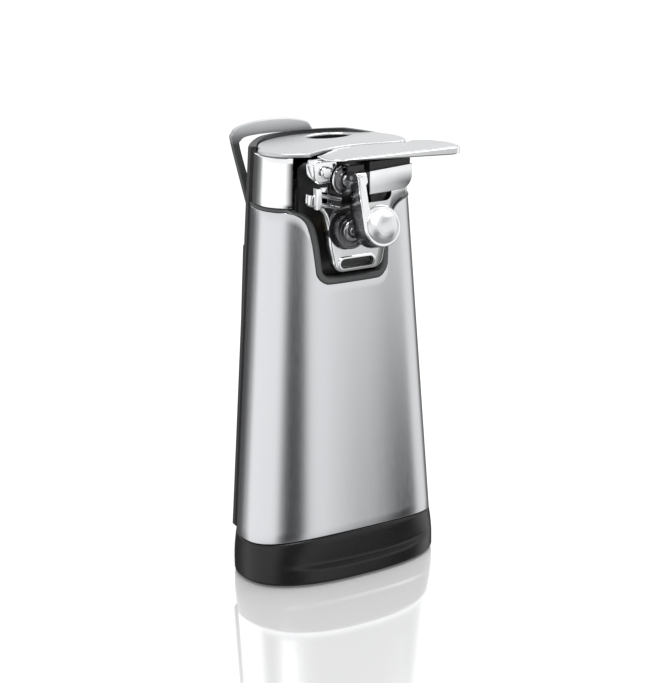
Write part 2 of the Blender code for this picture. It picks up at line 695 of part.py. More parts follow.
def lever_outline():
    """The wing-shaped slab, seen from above, anticlockwise from its front left."""
    front = arc(-18.0, LEVER_FRONT_Y + 9.5, 9.5, 190, 270, 5)
    tip = [(51.0, LEVER_FRONT_Y), (55.8, LEVER_FRONT_Y + 1.2), (58.7, LEVER_FRONT_Y + 4.2)]
    tip += [(LEVER_TIP_X, -27.5), (57.6, -20.5), (53.4, -14.2), (48.2, -10.4), (44.5, -9.8), (41.6, -12.0)]
    back = [(x, y - 1.0) for x, y in reversed(lever_gap_line()) if x > -8.0]
    return front + tip + back + [(-8.8, -12.4), (-14.0, -15.8), (-20.0, -20.6), (-26.0, -24.0)]


def lever():
    """The satin slab, the chrome frame under it, the apron, the seal over it and the fixed pivot pin."""
    cap = lying("lever_cap", [lever_outline()], LEVER_BOTTOM_Z, LEVER_TOP_Z, "satin_silver")
    add_bevel(cap, 0.7, 2)
    top = LEVER_BOTTOM_Z - GAP
    frame = standing("lever_frame", [[(-28.8, 232.0), (-17.0, 232.0), (-17.0, top), (-32.8, top), (-32.2, 236.0),
                                      (-30.8, 233.4)]], -30.5, -16.0, "chrome")
    join(frame, box("frame_web", (-19.0, -26.4, 227.0), (30.0, -23.4, top), "chrome"))
    hole(frame, "Y", PIN_RADIUS + 0.1, (LEVER_PIVOT_X, -50, LEVER_PIVOT_Z), (LEVER_PIVOT_X, 0, LEVER_PIVOT_Z))
    hole(frame, "Y", AXLE_RADIUS + 0.1, (CUTTER_X, -50, CUTTER_Z), (CUTTER_X, 0, CUTTER_Z), sides=20)
    turned("lever_pin", [(0, 2.2), (2.4, 2.2), (3.4, 1.4), (3.4, 0.2), (PIN_RADIUS, 0.2), (PIN_RADIUS, -21.2),
                         (0, -21.2)], (LEVER_PIVOT_X, -30.9, LEVER_PIVOT_Z), "zinc_steel", steps=20)
    apron_outline = arc(21.0, 232.6, 7.5, -75, 0, 5) + [(28.5, 239.7), (1.0, 237.4), (1.0, 224.2), (12.0, 224.4)]
    apron = standing("lever_apron", [apron_outline], -35.2, -34.0, "chrome")
    join(apron, box("apron_web", (2.0, -34.6, 235.6), (28.0, -26.4 - GAP, 237.0), "chrome"))
    box("lever_seal", (1.5, -33.6, 237.0 + GAP), (28.0, -26.4 - GAP, top), "black_plastic")


def cutter():
    """The cutting disc and the shouldered screw that it turns on."""
    bore = AXLE_RADIUS + 0.1
    turned("cutter_wheel", [(bore, 1.6), (4.6, 1.6), (5.2, 1.0), (7.0, 0.6), (CUTTER_RADIUS, -0.5),
                            (CUTTER_RADIUS, -0.9), (7.6, -1.1), (bore, -1.1), (bore, 1.6)],
           (CUTTER_X, -32.6, CUTTER_Z), "hard_steel", steps=36)
    turned("cutter_screw", [(0, 2.8), (2.8, 2.8), (3.4, 2.4), (3.4, 1.9), (AXLE_RADIUS, 1.9), (AXLE_RADIUS, -1.3),
                            (3.2, -1.3), (3.2, -5.9), (AXLE_RADIUS, -5.9), (AXLE_RADIUS, -10.0), (0, -10.0)],
           (CUTTER_X, -32.6, CUTTER_Z), "zinc_steel", steps=20)


def magnet_group():
    """The hinge under the lever's front edge and the arm that carries the magnet."""
    hinge = bpy.data.objects.new("magnet_hinge_axis", None)
    PARTS.objects.link(hinge)
    hinge.parent = RIG
    hinge.location = Vector((ARM_X, MAGNET_HINGE_Y, MAGNET_HINGE_Z)) * MM
    hinge.rotation_euler = (math.radians(MAGNET_TILT), 0, 0)
    hinge_block()
    arm = rod("magnet_arm", "X", 2.7, (-3.1, 0, 0), (3.1, 0, 0), "chrome", hinge, sides=20)
    join(arm, box("arm_strip", (-2.8, -3.0, -25.0), (2.8, -1.6, -1.2), "chrome", hinge))
    join(arm, box("arm_side", (-2.8, -2.0, -28.0), (-1.6, 6.0, -11.0), "chrome", hinge))
    join(arm, rod("arm_ring", "Y", CAP_RADIUS, (MAGNET_AHEAD_X, -3.4, -MAGNET_DROP),
                  (MAGNET_AHEAD_X, -2.0, -MAGNET_DROP), "chrome", hinge, sides=36))
    hole(arm, "Y", CAP_RADIUS - 1.3, (MAGNET_AHEAD_X, -10, -MAGNET_DROP), (MAGNET_AHEAD_X, 10, -MAGNET_DROP), sides=36)
    hole(arm, "X", 1.4, (-9, 0, 0), (9, 0, 0), sides=16)
    turned("magnet_cap", [(0, 8.4), (4.0, 8.1), (8.0, 7.0), (9.4, 6.2), (CAP_RADIUS - 0.6, 6.0), (CAP_RADIUS, 5.4),
                          (CAP_RADIUS, 3.7), (9.0, 3.7), (9.0, -5.6), (8.2, -5.6), (8.2, -3.4), (0, -3.4)], (MAGNET_AHEAD_X, 0, -MAGNET_DROP), "chrome", hinge, steps=36)
    turned("magnet", [(0, 3.7), (7.8, 3.7), (7.8, 5.9), (0, 5.9)][::-1], (MAGNET_AHEAD_X, 9.6, -MAGNET_DROP),
           "hard_steel", hinge, steps=28)


def hinge_block():
    x, y, z = ARM_X, MAGNET_HINGE_Y, MAGNET_HINGE_Z
    block = box("hinge_block", (x - 5, -37.9, z - 2.0), (x + 5, -35.7, LEVER_BOTTOM_Z - GAP), "black_plastic")
    for name, low, high in (("lug_left", x - 5, x - 3.4), ("lug_right", x + 3.4, x + 5)):
        join(block, box(name, (low, y - 2.4, z - 2.0), (high, -37.0, z + 2.4), "black_plastic"))
    hole(block, "X", 1.4, (x - 9, y, z), (x + 9, y, z), sides=16)
    rod("magnet_pin", "X", 1.3, (x - 5.4, y, z), (x + 5.4, y, z), "zinc_steel", sides=16)


# ---------------------------------------------------------------- dock and multi-tool

def dock_half_width(z):
    share = (z - DOCK_BOTTOM_Z) / (DOCK_TOP_Z - DOCK_BOTTOM_Z)
    return DOCK_BASE_HALF_WIDTH + (DOCK_TOP_HALF_WIDTH - DOCK_BASE_HALF_WIDTH) * share


def rear_y(x, z):
    """The depth of the rear housing's outside at x."""
    half_width = plan_point(90, z)[0]
    centre = TOP_CENTRE_Y * z / TOP_Z
    depth = plan_point(180, z)[1] - centre
    return centre + depth * math.sqrt(max(0.0, 1 - (x / half_width) ** 2))


def dock_loop(z, inset):
    """The dock's outline: flat at the back, round corners, and a front that follows the body."""
    half = dock_half_width(z) - inset
    back = DOCK_BACK_Y - inset
    corner = 7.0 - inset
    behind = arc(half - corner, back - corner, corner, 0, 90, 4) + arc(corner - half, back - corner, corner, 90, 180, 4)
    steps = 14
    along = [-half + 2 * half * i / steps for i in range(steps + 1)]
    front = [(x, rear_y(x, z) + DOCK_CLEARANCE + inset) for x in along]
    return [(x, y, z) for x, y in behind + front]


def tool_dock():
    levels = [DOCK_BOTTOM_Z + (DOCK_TOP_Z - DOCK_BOTTOM_Z) * i / 4 for i in range(5)]
    made = loft("tool_dock", [dock_loop(z, 0.0) for z in levels], "black_plastic")
    cut(made, loft("dock_pocket", [dock_loop(z, 2.0) for z in (DOCK_FLOOR_Z, 140.0, DOCK_TOP_Z + 6)], "black_plastic"))
    cut(made, loft("dock_hollow", [dock_loop(z, 2.0) for z in (DOCK_BOTTOM_Z - 4, 60.0, DOCK_FLOOR_Z - 2)],
                   "black_plastic"))
    return made


def mirrored_loop(right):
    """A closed outline from its right half, which runs from the bottom up to the middle of the top."""
    return right + [(-x, z) for x, z in reversed(right[:-1])]


def multi_tool():
    """A flat loop handle over a blade that widens into a pry end, standing in the dock."""
    handle = [(7.0, TOOL_BOTTOM_Z), (9.5, 120.0), (13.0, 150.0), (13.0, 176.0), (11.0, 186.0), (18.8, 215.8)]
    handle += [(26.3, 244.5), (26.0, 249.5), (22.5, 252.8), (12.0, 255.3), (0.0, TOOL_TOP_Z)]
    opening = [(5.0, 197.0), (13.8, 216.5), (21.2, 241.0), (20.6, 245.2), (17.0, 247.2), (8.0, 247.9), (0.0, 248.0)]
    front, back = TOOL_Y - TOOL_THICKNESS / 2, TOOL_Y + TOOL_THICKNESS / 2
    outlines = [shifted(mirrored_loop(handle), TOOL_X, 0), shifted(mirrored_loop(opening), TOOL_X, 0)]
    return standing("multi_tool", outlines, front, back, "grey_plastic")


def build_all():
    base_shell()
    cover = bottom_cover()
    feet()
    base_screws(cover)
    steel_wrap()
    inner_body()
    rear_housing()
    head_covers()
    shoulder_trim()
    recess_panel()
    top_plate()
    sharpener()
    face_plate()
    can_guide()
    drive_train()
    gearbox()
    motor()
    switch()
    cord_gland()
    lever()
    cutter()
    magnet_group()
    tool_dock()
    multi_tool()


def main():
    clear_scene()
    make_collections()
    make_materials()
    build_all()


main()
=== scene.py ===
import json
import math

import bpy
import bmesh
from mathutils import Matrix, Vector


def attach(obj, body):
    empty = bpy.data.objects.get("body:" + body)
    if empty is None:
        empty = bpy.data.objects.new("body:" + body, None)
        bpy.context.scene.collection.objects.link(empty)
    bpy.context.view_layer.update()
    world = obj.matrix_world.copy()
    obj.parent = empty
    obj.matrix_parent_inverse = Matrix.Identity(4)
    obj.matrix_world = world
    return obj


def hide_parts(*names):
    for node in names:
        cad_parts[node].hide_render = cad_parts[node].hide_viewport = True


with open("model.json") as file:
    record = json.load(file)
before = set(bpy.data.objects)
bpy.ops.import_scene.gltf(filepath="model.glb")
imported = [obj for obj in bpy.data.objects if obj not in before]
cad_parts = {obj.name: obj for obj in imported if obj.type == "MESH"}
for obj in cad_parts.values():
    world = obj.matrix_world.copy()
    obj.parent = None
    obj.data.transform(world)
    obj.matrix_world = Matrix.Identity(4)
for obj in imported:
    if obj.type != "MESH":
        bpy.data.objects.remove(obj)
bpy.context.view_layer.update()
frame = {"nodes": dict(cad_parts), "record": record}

# Sizes are in millimetres in the body's own frame: X to the right seen from the front, the front
# facing -Y. SHIFT_Y is where that frame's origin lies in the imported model.
MM = 0.001
SHIFT_Y = 3.0
GAP = 0.3

TOP_Z = 247.0
BASE_HALF_WIDTH = 63.0
TOP_HALF_WIDTH = 45.0
BASE_FRONT_DEPTH = 35.0
TOP_FRONT_DEPTH = 24.5
BASE_REAR_DEPTH = 43.0
TOP_REAR_DEPTH = 36.0
TOP_CENTRE_Y = 4.7
FRONT_ROUNDNESS = 2.5
REAR_ROUNDNESS = 2.0
SEAM_TURN = 112.0
WAVE_MIDDLE_Z = 27.3
WAVE_HEIGHT = 2.6
STEEL_THICKNESS = 0.9
SHELL_THICKNESS = 2.2
REAR_RIM_Z = 249.0
SEAM_RIM_Z = 246.4
RIM_RUN_OUT = 30.0
SHOULDER_Z = 214.6
HEAD_BOTTOM_Z = 216.6
HEAD_TOP_Z = 244.2
HEAD_EDGES_X = {"left": (-1, 35.0), "right": (1, 38.8)}
PLATE_BOTTOM_Z = 244.6
BIB_X = -2.0
BIB_BOTTOM_Z = 174.0
BIB_HALF_WIDTH = 23.5
RIM_WIDTH = 3.8
FACE_Y = -29.0
FACE_BACK_Y = -24.5
DRIVE = (-9.8, 205.5)
FEED_RADIUS = 10.4
FEED_FRONT_Y = -34.4
CUTTER = (-13.0, 233.6)
CUTTER_RADIUS = 8.3
CUTTER_Y = -32.6
LEVER_TOP_Z = 246.6
LEVER_BOTTOM_Z = 242.2
LEVER_FRONT_Y = -41.3
LEVER_TIP_X = 59.5
HOUSING_Y = -30.5
WEB_Y = -26.4
WEB_BACK_Y = -23.4
PIVOT = (-25.0, 238.4)
BORE_RADIUS = 2.1
HINGE = (-9.8, -41.0, 236.0)
MAGNET_TILT = -16.0
MAGNET_AHEAD_X = 8.2
MAGNET_DROP = 27.5
CAP_RADIUS = 11.4
ARM_HALF_WIDTH = 3.0
ARM_FACE_Y = -1.8
HINGE_BORE_RADIUS = 1.4
SHARPENER = (11.5, 25.0)
DOCK_BACK_Y = 51.5
DOCK_BOTTOM_HALF_WIDTH = 41.0
DOCK_TOP_HALF_WIDTH = 33.0
DOCK_CORNER = 7.0
DOCK_WALL = 2.0
DOCK_TOP_Z = 184.0
DOCK_BOTTOM_Z = 16.0
TOOL_X = -13.5
TOOL_Y = 46.6
TOOL_HALF_THICKNESS = 1.6
GLAND_Z = 9.2
CAMERA_PLACE = (-521.77, -831.58, 419.6)
CAMERA_AZIMUTH = -32.0
CAMERA_ELEVATION = 16.29
CAMERA_LENS = 94.14


# ---------------------------------------------------------------- finishes

LOOKS = {}


def finish(name, dark, light, roughness, metallic, grain, relief=0.0, specular=0.5, contrast=0.25):
    """A material whose colour, roughness and relief follow a noise stretched by grain (per metre)."""
    made = bpy.data.materials.new(name)
    made.use_nodes = True
    nodes, links = made.node_tree.nodes, made.node_tree.links
    shader = nodes["Principled BSDF"]
    shader.inputs["Metallic"].default_value = metallic
    shader.inputs["Specular IOR Level"].default_value = specular
    place = nodes.new("ShaderNodeTexCoord")
    stretch = nodes.new("ShaderNodeMapping")
    stretch.inputs["Scale"].default_value = grain
    noise = nodes.new("ShaderNodeTexNoise")
    noise.inputs["Scale"].default_value = 1.0
    noise.inputs["Detail"].default_value = 5.0
    noise.inputs["Roughness"].default_value = 0.6
    ramp = nodes.new("ShaderNodeValToRGB")
    ramp.color_ramp.elements[0].position = 0.5 - contrast
    ramp.color_ramp.elements[0].color = (*dark, 1)
    ramp.color_ramp.elements[1].position = 0.5 + contrast
    ramp.color_ramp.elements[1].color = (*light, 1)
    spread = nodes.new("ShaderNodeMapRange")
    spread.inputs["From Min"].default_value = 0.3
    spread.inputs["From Max"].default_value = 0.7
    spread.inputs["To Min"].default_value = roughness[0]
    spread.inputs["To Max"].default_value = roughness[1]
    bump = nodes.new("ShaderNodeBump")
    bump.inputs["Strength"].default_value = 0.5
    bump.inputs["Distance"].default_value = relief * MM
    links.new(place.outputs["Object"], stretch.inputs["Vector"])
    links.new(stretch.outputs["Vector"], noise.inputs["Vector"])
    links.new(noise.outputs["Fac"], ramp.inputs["Fac"])
    links.new(noise.outputs["Fac"], spread.inputs["Value"])
    links.new(noise.outputs["Fac"], bump.inputs["Height"])
    links.new(ramp.outputs["Color"], shader.inputs["Base Color"])
    links.new(spread.outputs["Result"], shader.inputs["Roughness"])
    links.new(bump.outputs["Normal"], shader.inputs["Normal"])
    LOOKS[name] = made


def make_finishes():
    upright = (2200.0, 2200.0, 10.0)
    fine = (1800.0,) * 3
    ground = (600.0,) * 3
    plated = (90.0,) * 3
    finish("brushed_steel", (0.66, 0.67, 0.69), (0.70, 0.71, 0.73), (0.22, 0.27), 1.0, upright, 0.0008)
    finish("chrome", (0.86, 0.87, 0.88), (0.93, 0.94, 0.95), (0.03, 0.06), 1.0, plated)
    finish("pearl_chrome", (0.80, 0.81, 0.82), (0.86, 0.87, 0.88), (0.34, 0.40), 1.0, plated)
    finish("satin_silver", (0.57, 0.58, 0.59), (0.61, 0.62, 0.63), (0.34, 0.42), 0.85, fine, 0.006)
    finish("black_plastic", (0.012, 0.012, 0.013), (0.020, 0.020, 0.022), (0.26, 0.36), 0.0, fine, 0.010)
    finish("base_plastic", (0.006, 0.006, 0.007), (0.010, 0.010, 0.011), (0.26, 0.32), 0.0, fine, 0.003, 0.35)
    finish("gloss_plastic", (0.050, 0.053, 0.054), (0.066, 0.069, 0.070), (0.08, 0.14), 0.0, fine, 0.002, 0.8)
    # Dark steel with painted shade and painted dark reflection. The feed wheel, the cutting disc and the
    # arm's folded sides take it in place of the shade and the dark surroundings they show.
    finish("steel_painted_shade", (0.10, 0.10, 0.11), (0.22, 0.22, 0.23), (0.16, 0.28), 1.0, ground, 0.004)
    finish("matt_black", (0.004, 0.004, 0.004), (0.007, 0.007, 0.007), (0.55, 0.65), 0.0, fine, 0.006, 0.12)
    finish("grey_plastic", (0.052, 0.055, 0.056), (0.066, 0.069, 0.070), (0.36, 0.44), 0.0, fine, 0.010)
    finish("hard_steel", (0.40, 0.40, 0.42), (0.56, 0.56, 0.58), (0.16, 0.30), 1.0, ground, 0.004)
    finish("zinc_steel", (0.48, 0.49, 0.51), (0.60, 0.61, 0.63), (0.30, 0.45), 1.0, (700.0,) * 3, 0.004)
    finish("nylon", (0.72, 0.70, 0.62), (0.84, 0.82, 0.74), (0.42, 0.52), 0.0, fine, 0.010)
    finish("rubber", (0.018, 0.018, 0.018), (0.034, 0.034, 0.034), (0.70, 0.85), 0.0, fine, 0.020)
    finish("brass", (0.66, 0.50, 0.22), (0.80, 0.63, 0.32), (0.30, 0.45), 1.0, (900.0,) * 3, 0.006)
    finish("stone", (0.36, 0.35, 0.33), (0.56, 0.55, 0.52), (0.80, 0.95), 0.0, (2400.0,) * 3, 0.040)


def lighten_loop():
    """The tool's loop grows paler towards its top, in place of a bright reflection there."""
    tree = LOOKS["gloss_plastic"].node_tree
    shader = tree.nodes["Principled BSDF"]
    dark = shader.inputs["Base Color"].links[0].from_socket
    where = tree.nodes.new("ShaderNodeTexCoord")
    split = tree.nodes.new("ShaderNodeSeparateXYZ")
    tree.links.new(where.outputs["Object"], split.inputs[0])
    pale = tree.nodes.new("ShaderNodeRGB")
    pale.outputs[0].default_value = (0.52, 0.53, 0.54, 1)
    share = rising(tree, split.outputs["Z"], 0.243, 0.256)
    tree.links.new(blend(tree, share, dark, pale.outputs[0]), shader.inputs["Base Color"])


def dress_cad_nodes():
    """Every carried-over CAD node takes the finish of its slot in the record."""
    for entry in frame["record"]["subparts"]:
        mesh = frame["nodes"][entry["node"]].data
        mesh.materials.clear()
        mesh.materials.append(LOOKS[entry["material_slot"]])


# ---------------------------------------------------------------- mesh helpers

def place(x, y, z):
    """A point of the body's own frame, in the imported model's frame."""
    return Vector((x * MM, (y + SHIFT_Y) * MM, z * MM))


def add_piece(name, mesh, look, body, nodes, sharp=35):
    made = bpy.data.objects.new(name, mesh)
    bpy.context.scene.collection.objects.link(made)
    mesh.materials.clear()
    mesh.materials.append(LOOKS[look])
    mesh.shade_smooth()
    mesh.set_sharp_from_angle(angle=math.radians(sharp))
    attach(made, body)
    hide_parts(*nodes)
    return made


def closed_mesh(name, rows, wrap_rows=False):
    """A solid through rings of points. Rows wrap into a ring, or end in flat caps."""
    bm = bmesh.new()
    rings = [[bm.verts.new(p) for p in row] for row in rows]
    pairs = list(zip(rings, rings[1:])) + ([(rings[-1], rings[0])] if wrap_rows else [])
    for low, high in pairs:
        for i in range(len(low)):
            j = (i + 1) % len(low)
            bm.faces.new((low[i], low[j], high[j], high[i]))
    if not wrap_rows:
        bm.faces.new(rings[0])
        bm.faces.new(rings[-1])
    bmesh.ops.remove_doubles(bm, verts=bm.verts, dist=0.000002)
    bmesh.ops.recalc_face_normals(bm, faces=bm.faces)
    mesh = bpy.data.meshes.new(name)
    bm.to_mesh(mesh)
    bm.free()
    return mesh


def smooth_line(points, steps, closed=False):
    """A Catmull-Rom curve through points, with steps points for each stretch."""
    count = len(points)
    made = []
    for i in range(count if closed else count - 1):
        picked = [(i + k) % count if closed else min(max(i + k, 0), count - 1) for k in (-1, 0, 1, 2)]
        p = [Vector(points[k]) for k in picked]
        for s in range(steps):
            t = s / steps
            made.append(0.5 * (2 * p[1] + (p[2] - p[0]) * t + (2 * p[0] - 5 * p[1] + 4 * p[2] - p[3]) * t * t
                               + (3 * p[1] - p[0] - 3 * p[2] + p[3]) * t ** 3))
    if not closed:
        made.append(Vector(points[-1]))
    return [tuple(q) for q in made]


def arc(x, y, radius, start, end, steps=12):
    angles = [math.radians(start + (end - start) * i / steps) for i in range(steps + 1)]
    return [(x + radius * math.cos(a), y + radius * math.sin(a)) for a in angles]


def ellipse(x, y, half_x, half_y, steps=64):
    return [(x + half_x * math.cos(2 * math.pi * i / steps), y + half_y * math.sin(2 * math.pi * i / steps))
            for i in range(steps)]


def rounded_rectangle(low_x, low_y, high_x, high_y, radius, steps=8):
    return (arc(high_x - radius, low_y + radius, radius, -90, 0, steps)
            + arc(high_x - radius, high_y - radius, radius, 0, 90, steps)
            + arc(low_x + radius, high_y - radius, radius, 90, 180, steps)
            + arc(low_x + radius, low_y + radius, radius, 180, 270, steps))


def shifted(points, dx, dy):
    return [(x + dx, y + dy) for x, y in points]


def anticlockwise(points):
    area = sum(a[0] * b[1] - b[0] * a[1] for a, b in zip(points, points[1:] + points[:1]))
    return points if area > 0 else points[::-1]


def drawn_in(points, amount):
    """An anticlockwise outline moved inwards, with mitred corners."""
    made = []
    count = len(points)
    for i in range(count):
        before, here, after = Vector(points[i - 1]), Vector(points[i]), Vector(points[(i + 1) % count])
        first, second = (here - before), (after - here)
        if first.length < 1e-6 or second.length < 1e-6:
            made.append(tuple(here))
            continue
        first.normalize()
        second.normalize()
        normal = Vector((-first.y - second.y, first.x + second.x))
        made.append(tuple(here + normal * (amount / max(0.6, 1 + first.dot(second)))))
    return made


def slab_rows(outline, low, high, round_low, round_high, point, steps=4):
    """Rings of a flat slab with rounded edges. Point turns (u, v, w) into a place."""
    outline = anticlockwise(list(outline))
    rows = []
    for i in range(steps + 1):
        angle = math.radians(90 * i / steps)
        inner = drawn_in(outline, round_low * (1 - math.sin(angle)))
        rows.append([point(u, v, low + round_low * (1 - math.cos(angle))) for u, v in inner])
    for i in range(steps + 1):
        angle = math.radians(90 * i / steps)
        inner = drawn_in(outline, round_high * (1 - math.cos(angle)))
        rows.append([point(u, v, high - round_high * (1 - math.sin(angle))) for u, v in inner])
    return rows


def lying_point(u, v, w):
    return place(u, v, w)


def standing_point(u, v, w):
    return place(u, w, v)


def lying(name, outline, low, high, edge=0.4, low_edge=0.3):
    return closed_mesh(name, slab_rows(outline, low, high, low_edge, edge, lying_point))


def standing(name, outline, front, back, edge=0.4, back_edge=0.2):
    return closed_mesh(name, slab_rows(outline, front, back, edge, back_edge, standing_point))


def softened(profile, radius, steps=3):
    """An open profile with its corners rounded."""
    made = [profile[0]]
    for before, here, after in zip(profile, profile[1:], profile[2:]):
        a, b, c = Vector(before), Vector(here), Vector(after)
        reach_in = min(radius, (a - b).length * 0.45)
        reach_out = min(radius, (c - b).length * 0.45)
        start = b + (a - b).normalized() * reach_in
        end = b + (c - b).normalized() * reach_out
        for i in range(steps + 1):
            t = i / steps
            made.append(tuple((1 - t) ** 2 * start + 2 * t * (1 - t) * b + t * t * end))
    made.append(profile[-1])
    return made


def lathe(name, profile, middle, axis="Y", steps=72, soft=0.25):
    """A turned solid. The profile is (radius, ahead), and ahead is towards -Y or towards +Z."""
    closed = profile[0] == profile[-1]
    line = softened(profile, soft)
    if closed:
        line = line[:-1]
    centre = place(*middle)
    rows = []
    for radius, ahead in line:
        row = []
        for i in range(steps):
            angle = 2 * math.pi * i / steps
            u, v = max(radius, 0.0) * math.cos(angle) * MM, max(radius, 0.0) * math.sin(angle) * MM
            offset = Vector((u, -ahead * MM, v)) if axis == "Y" else Vector((u, v, ahead * MM))
            row.append(centre + offset)
        rows.append(row)
    if closed:
        return closed_mesh(name, rows, wrap_rows=True)
    bm = bmesh.new()
    rings = [[bm.verts.new(rows[i][0])] if line[i][0] < 1e-6 else [bm.verts.new(p) for p in rows[i]]
             for i in range(len(rows))]
    for low, high in zip(rings, rings[1:]):
        for i in range(steps):
            j = (i + 1) % steps
            corners = [low[i % len(low)], low[j % len(low)], high[j % len(high)], high[i % len(high)]]
            corners = [c for k, c in enumerate(corners) if c not in corners[:k]]
            if len(corners) > 2:
                bm.faces.new(corners)
    bmesh.ops.recalc_face_normals(bm, faces=bm.faces)
    mesh = bpy.data.meshes.new(name)
    bm.to_mesh(mesh)
    bm.free()
    return mesh


def combine(name, mesh, others, operation):
    """The mesh with other meshes joined to it or cut from it."""
    holders = []
    for data in [mesh] + others:
        holder = bpy.data.objects.new(data.name, data)
        bpy.context.scene.collection.objects.link(holder)
        holders.append(holder)
    for other in holders[1:]:
        step = holders[0].modifiers.new("step", "BOOLEAN")
        step.operation = operation
        step.object = other
    bpy.context.view_layer.update()
    graph = bpy.context.evaluated_depsgraph_get()
    made = bpy.data.meshes.new_from_object(holders[0].evaluated_get(graph))
    made.name = name
    for holder in holders:
        bpy.data.objects.remove(holder, do_unlink=True)
    return made


def cut(mesh, *others):
    return combine(mesh.name, mesh, list(others), "DIFFERENCE")


def join(mesh, *others):
    return combine(mesh.name, mesh, list(others), "UNION")


def share_past(value, start, length):
    """0 before start, 1 past start + length and even in between."""
    return min(1.0, max(0.0, (value - start) / length))


def turned_in_place(mesh, middle, degrees, axis):
    """The mesh turned about an axis through a point of the body's own frame."""
    centre = Matrix.Translation(place(*middle))
    mesh.transform(centre @ Matrix.Rotation(math.radians(degrees), 4, axis) @ centre.inverted())
    return mesh


# ---------------------------------------------------------------- body surfaces

def plan_point(turn, z, inset=0.0):
    """A point of the body's outline at height z. Turn is 0 at the front and 90 at the right side."""
    share = z / TOP_Z
    half_width = BASE_HALF_WIDTH + (TOP_HALF_WIDTH - BASE_HALF_WIDTH) * share - inset
    front = BASE_FRONT_DEPTH + (TOP_FRONT_DEPTH - BASE_FRONT_DEPTH) * share - inset
    rear = BASE_REAR_DEPTH + (TOP_REAR_DEPTH - BASE_REAR_DEPTH) * share - inset
    sine = math.sin(math.radians(turn))
    cosine = math.cos(math.radians(turn))
    roundness, depth = (FRONT_ROUNDNESS, front) if cosine > 0 else (REAR_ROUNDNESS, rear)
    x = half_width * math.copysign(abs(sine) ** (2 / roundness), sine)
    y = TOP_CENTRE_Y * share - depth * math.copysign(abs(cosine) ** (2 / roundness), cosine)
    return (x, y, z)


def turn_at(x, z, inset=0.0):
    half_width = plan_point(90, z, inset)[0]
    share = min(1.0, abs(x) / half_width)
    return math.copysign(math.degrees(math.asin(share ** (FRONT_ROUNDNESS / 2))), x)


def wave_z(turn):
    return WAVE_MIDDLE_Z + WAVE_HEIGHT * math.cos(2 * math.radians(turn))


def bib_line(grow=0.0):
    """The smooth edge of the steel around the bib, from shoulder to shoulder, as (x, z)."""
    half = BIB_HALF_WIDTH + grow
    bottom = BIB_BOTTOM_Z - grow
    corner = 8.5 + grow
    left = [(BIB_X - half - 14.0, SHOULDER_Z), (BIB_X - half - 9.5, SHOULDER_Z - 1.2)]
    left += [(BIB_X - half - 5.2, SHOULDER_Z - 4.8), (BIB_X - half - 2.8, SHOULDER_Z - 10.5)]
    left += [(BIB_X - half - 1.2, SHOULDER_Z - 20.0)]
    left += arc(BIB_X - half + corner, bottom + corner, corner, 180, 270, 5)
    left += [(BIB_X, bottom)]
    left = smooth_line(left, 6)
    mirrored = [(2 * BIB_X - x, z) for x, z in reversed(left[:-1])]
    return left + mirrored


def top_line(grow=0.0, side_steps=60):
    """(turn, z) along the steel's top edge from seam to seam, down and up round the bib."""
    middle = [(turn_at(x, z), z) for x, z in bib_line(grow)]
    first, last = middle[0][0], middle[-1][0]
    left = [(-SEAM_TURN + (first + SEAM_TURN) * i / side_steps, SHOULDER_Z) for i in range(side_steps)]
    right = [(last + (SEAM_TURN - last) * (i + 1) / side_steps, SHOULDER_Z) for i in range(side_steps)]
    return left + middle + right


def wall(name, lower, upper, outside, inside, rows, edge):
    """A thin curved wall between two lines of (turn, z), with rounded top and bottom edges."""
    steps = 3
    deep = min(edge, inside - outside)
    section = [(0.0, 0.0, inside)]
    for i in range(steps + 1):
        angle = math.radians(90 * i / steps)
        section.append((0.0, edge * (1 - math.cos(angle)), outside + deep * (1 - math.sin(angle))))
    section += [(r / rows, 0.0, outside) for r in range(1, rows)]
    for i in range(steps + 1):
        angle = math.radians(90 * i / steps)
        section.append((1.0, -edge * (1 - math.sin(angle)), outside + deep * (1 - math.cos(angle))))
    section.append((1.0, 0.0, inside))
    stations = []
    for (turn_a, z_a), (turn_b, z_b) in zip(lower, upper):
        ring = []
        for share, rise, inset in section:
            z = z_a + (z_b - z_a) * share + rise
            turn = turn_a + (turn_b - turn_a) * share
            ring.append(place(*plan_point(turn, z, inset)))
        stations.append(ring)
    return closed_mesh(name, stations)


def band(name, stations):
    """A solid swept along stations, each a ring of (turn, z, inset)."""
    return closed_mesh(name, [[place(*plan_point(*p)) for p in ring] for ring in stations])


# ---------------------------------------------------------------- base and body pieces

def steel():
    """The brushed steel sheet, from the base's wavy edge up to the shoulder and round the bib."""
    upper = top_line()
    lower = [(turn, wave_z(turn) + 0.2) for turn, _ in upper]
    mesh = wall("body_steel", lower, upper, 0.0, STEEL_THICKNESS, 30, 0.3)
    add_piece("body_steel", mesh, "brushed_steel", "housing", ["steel_wrap"])


def scoop(turn, z):
    """How far the front of the base is pressed in, in millimetres."""
    deepest, middle_turn, half_turn, high_z = 2.6, 4.0, 42.0, 26.0
    across = math.exp(-((turn - middle_turn) / half_turn) ** 4)
    crease = 9.5 + 2.0 * (turn / 60.0) ** 2
    above = share_past(z, crease, 4.0)
    below = share_past(high_z - z, 0.0, 14.0)
    return deepest * across * above * above * (3 - 2 * above) * below


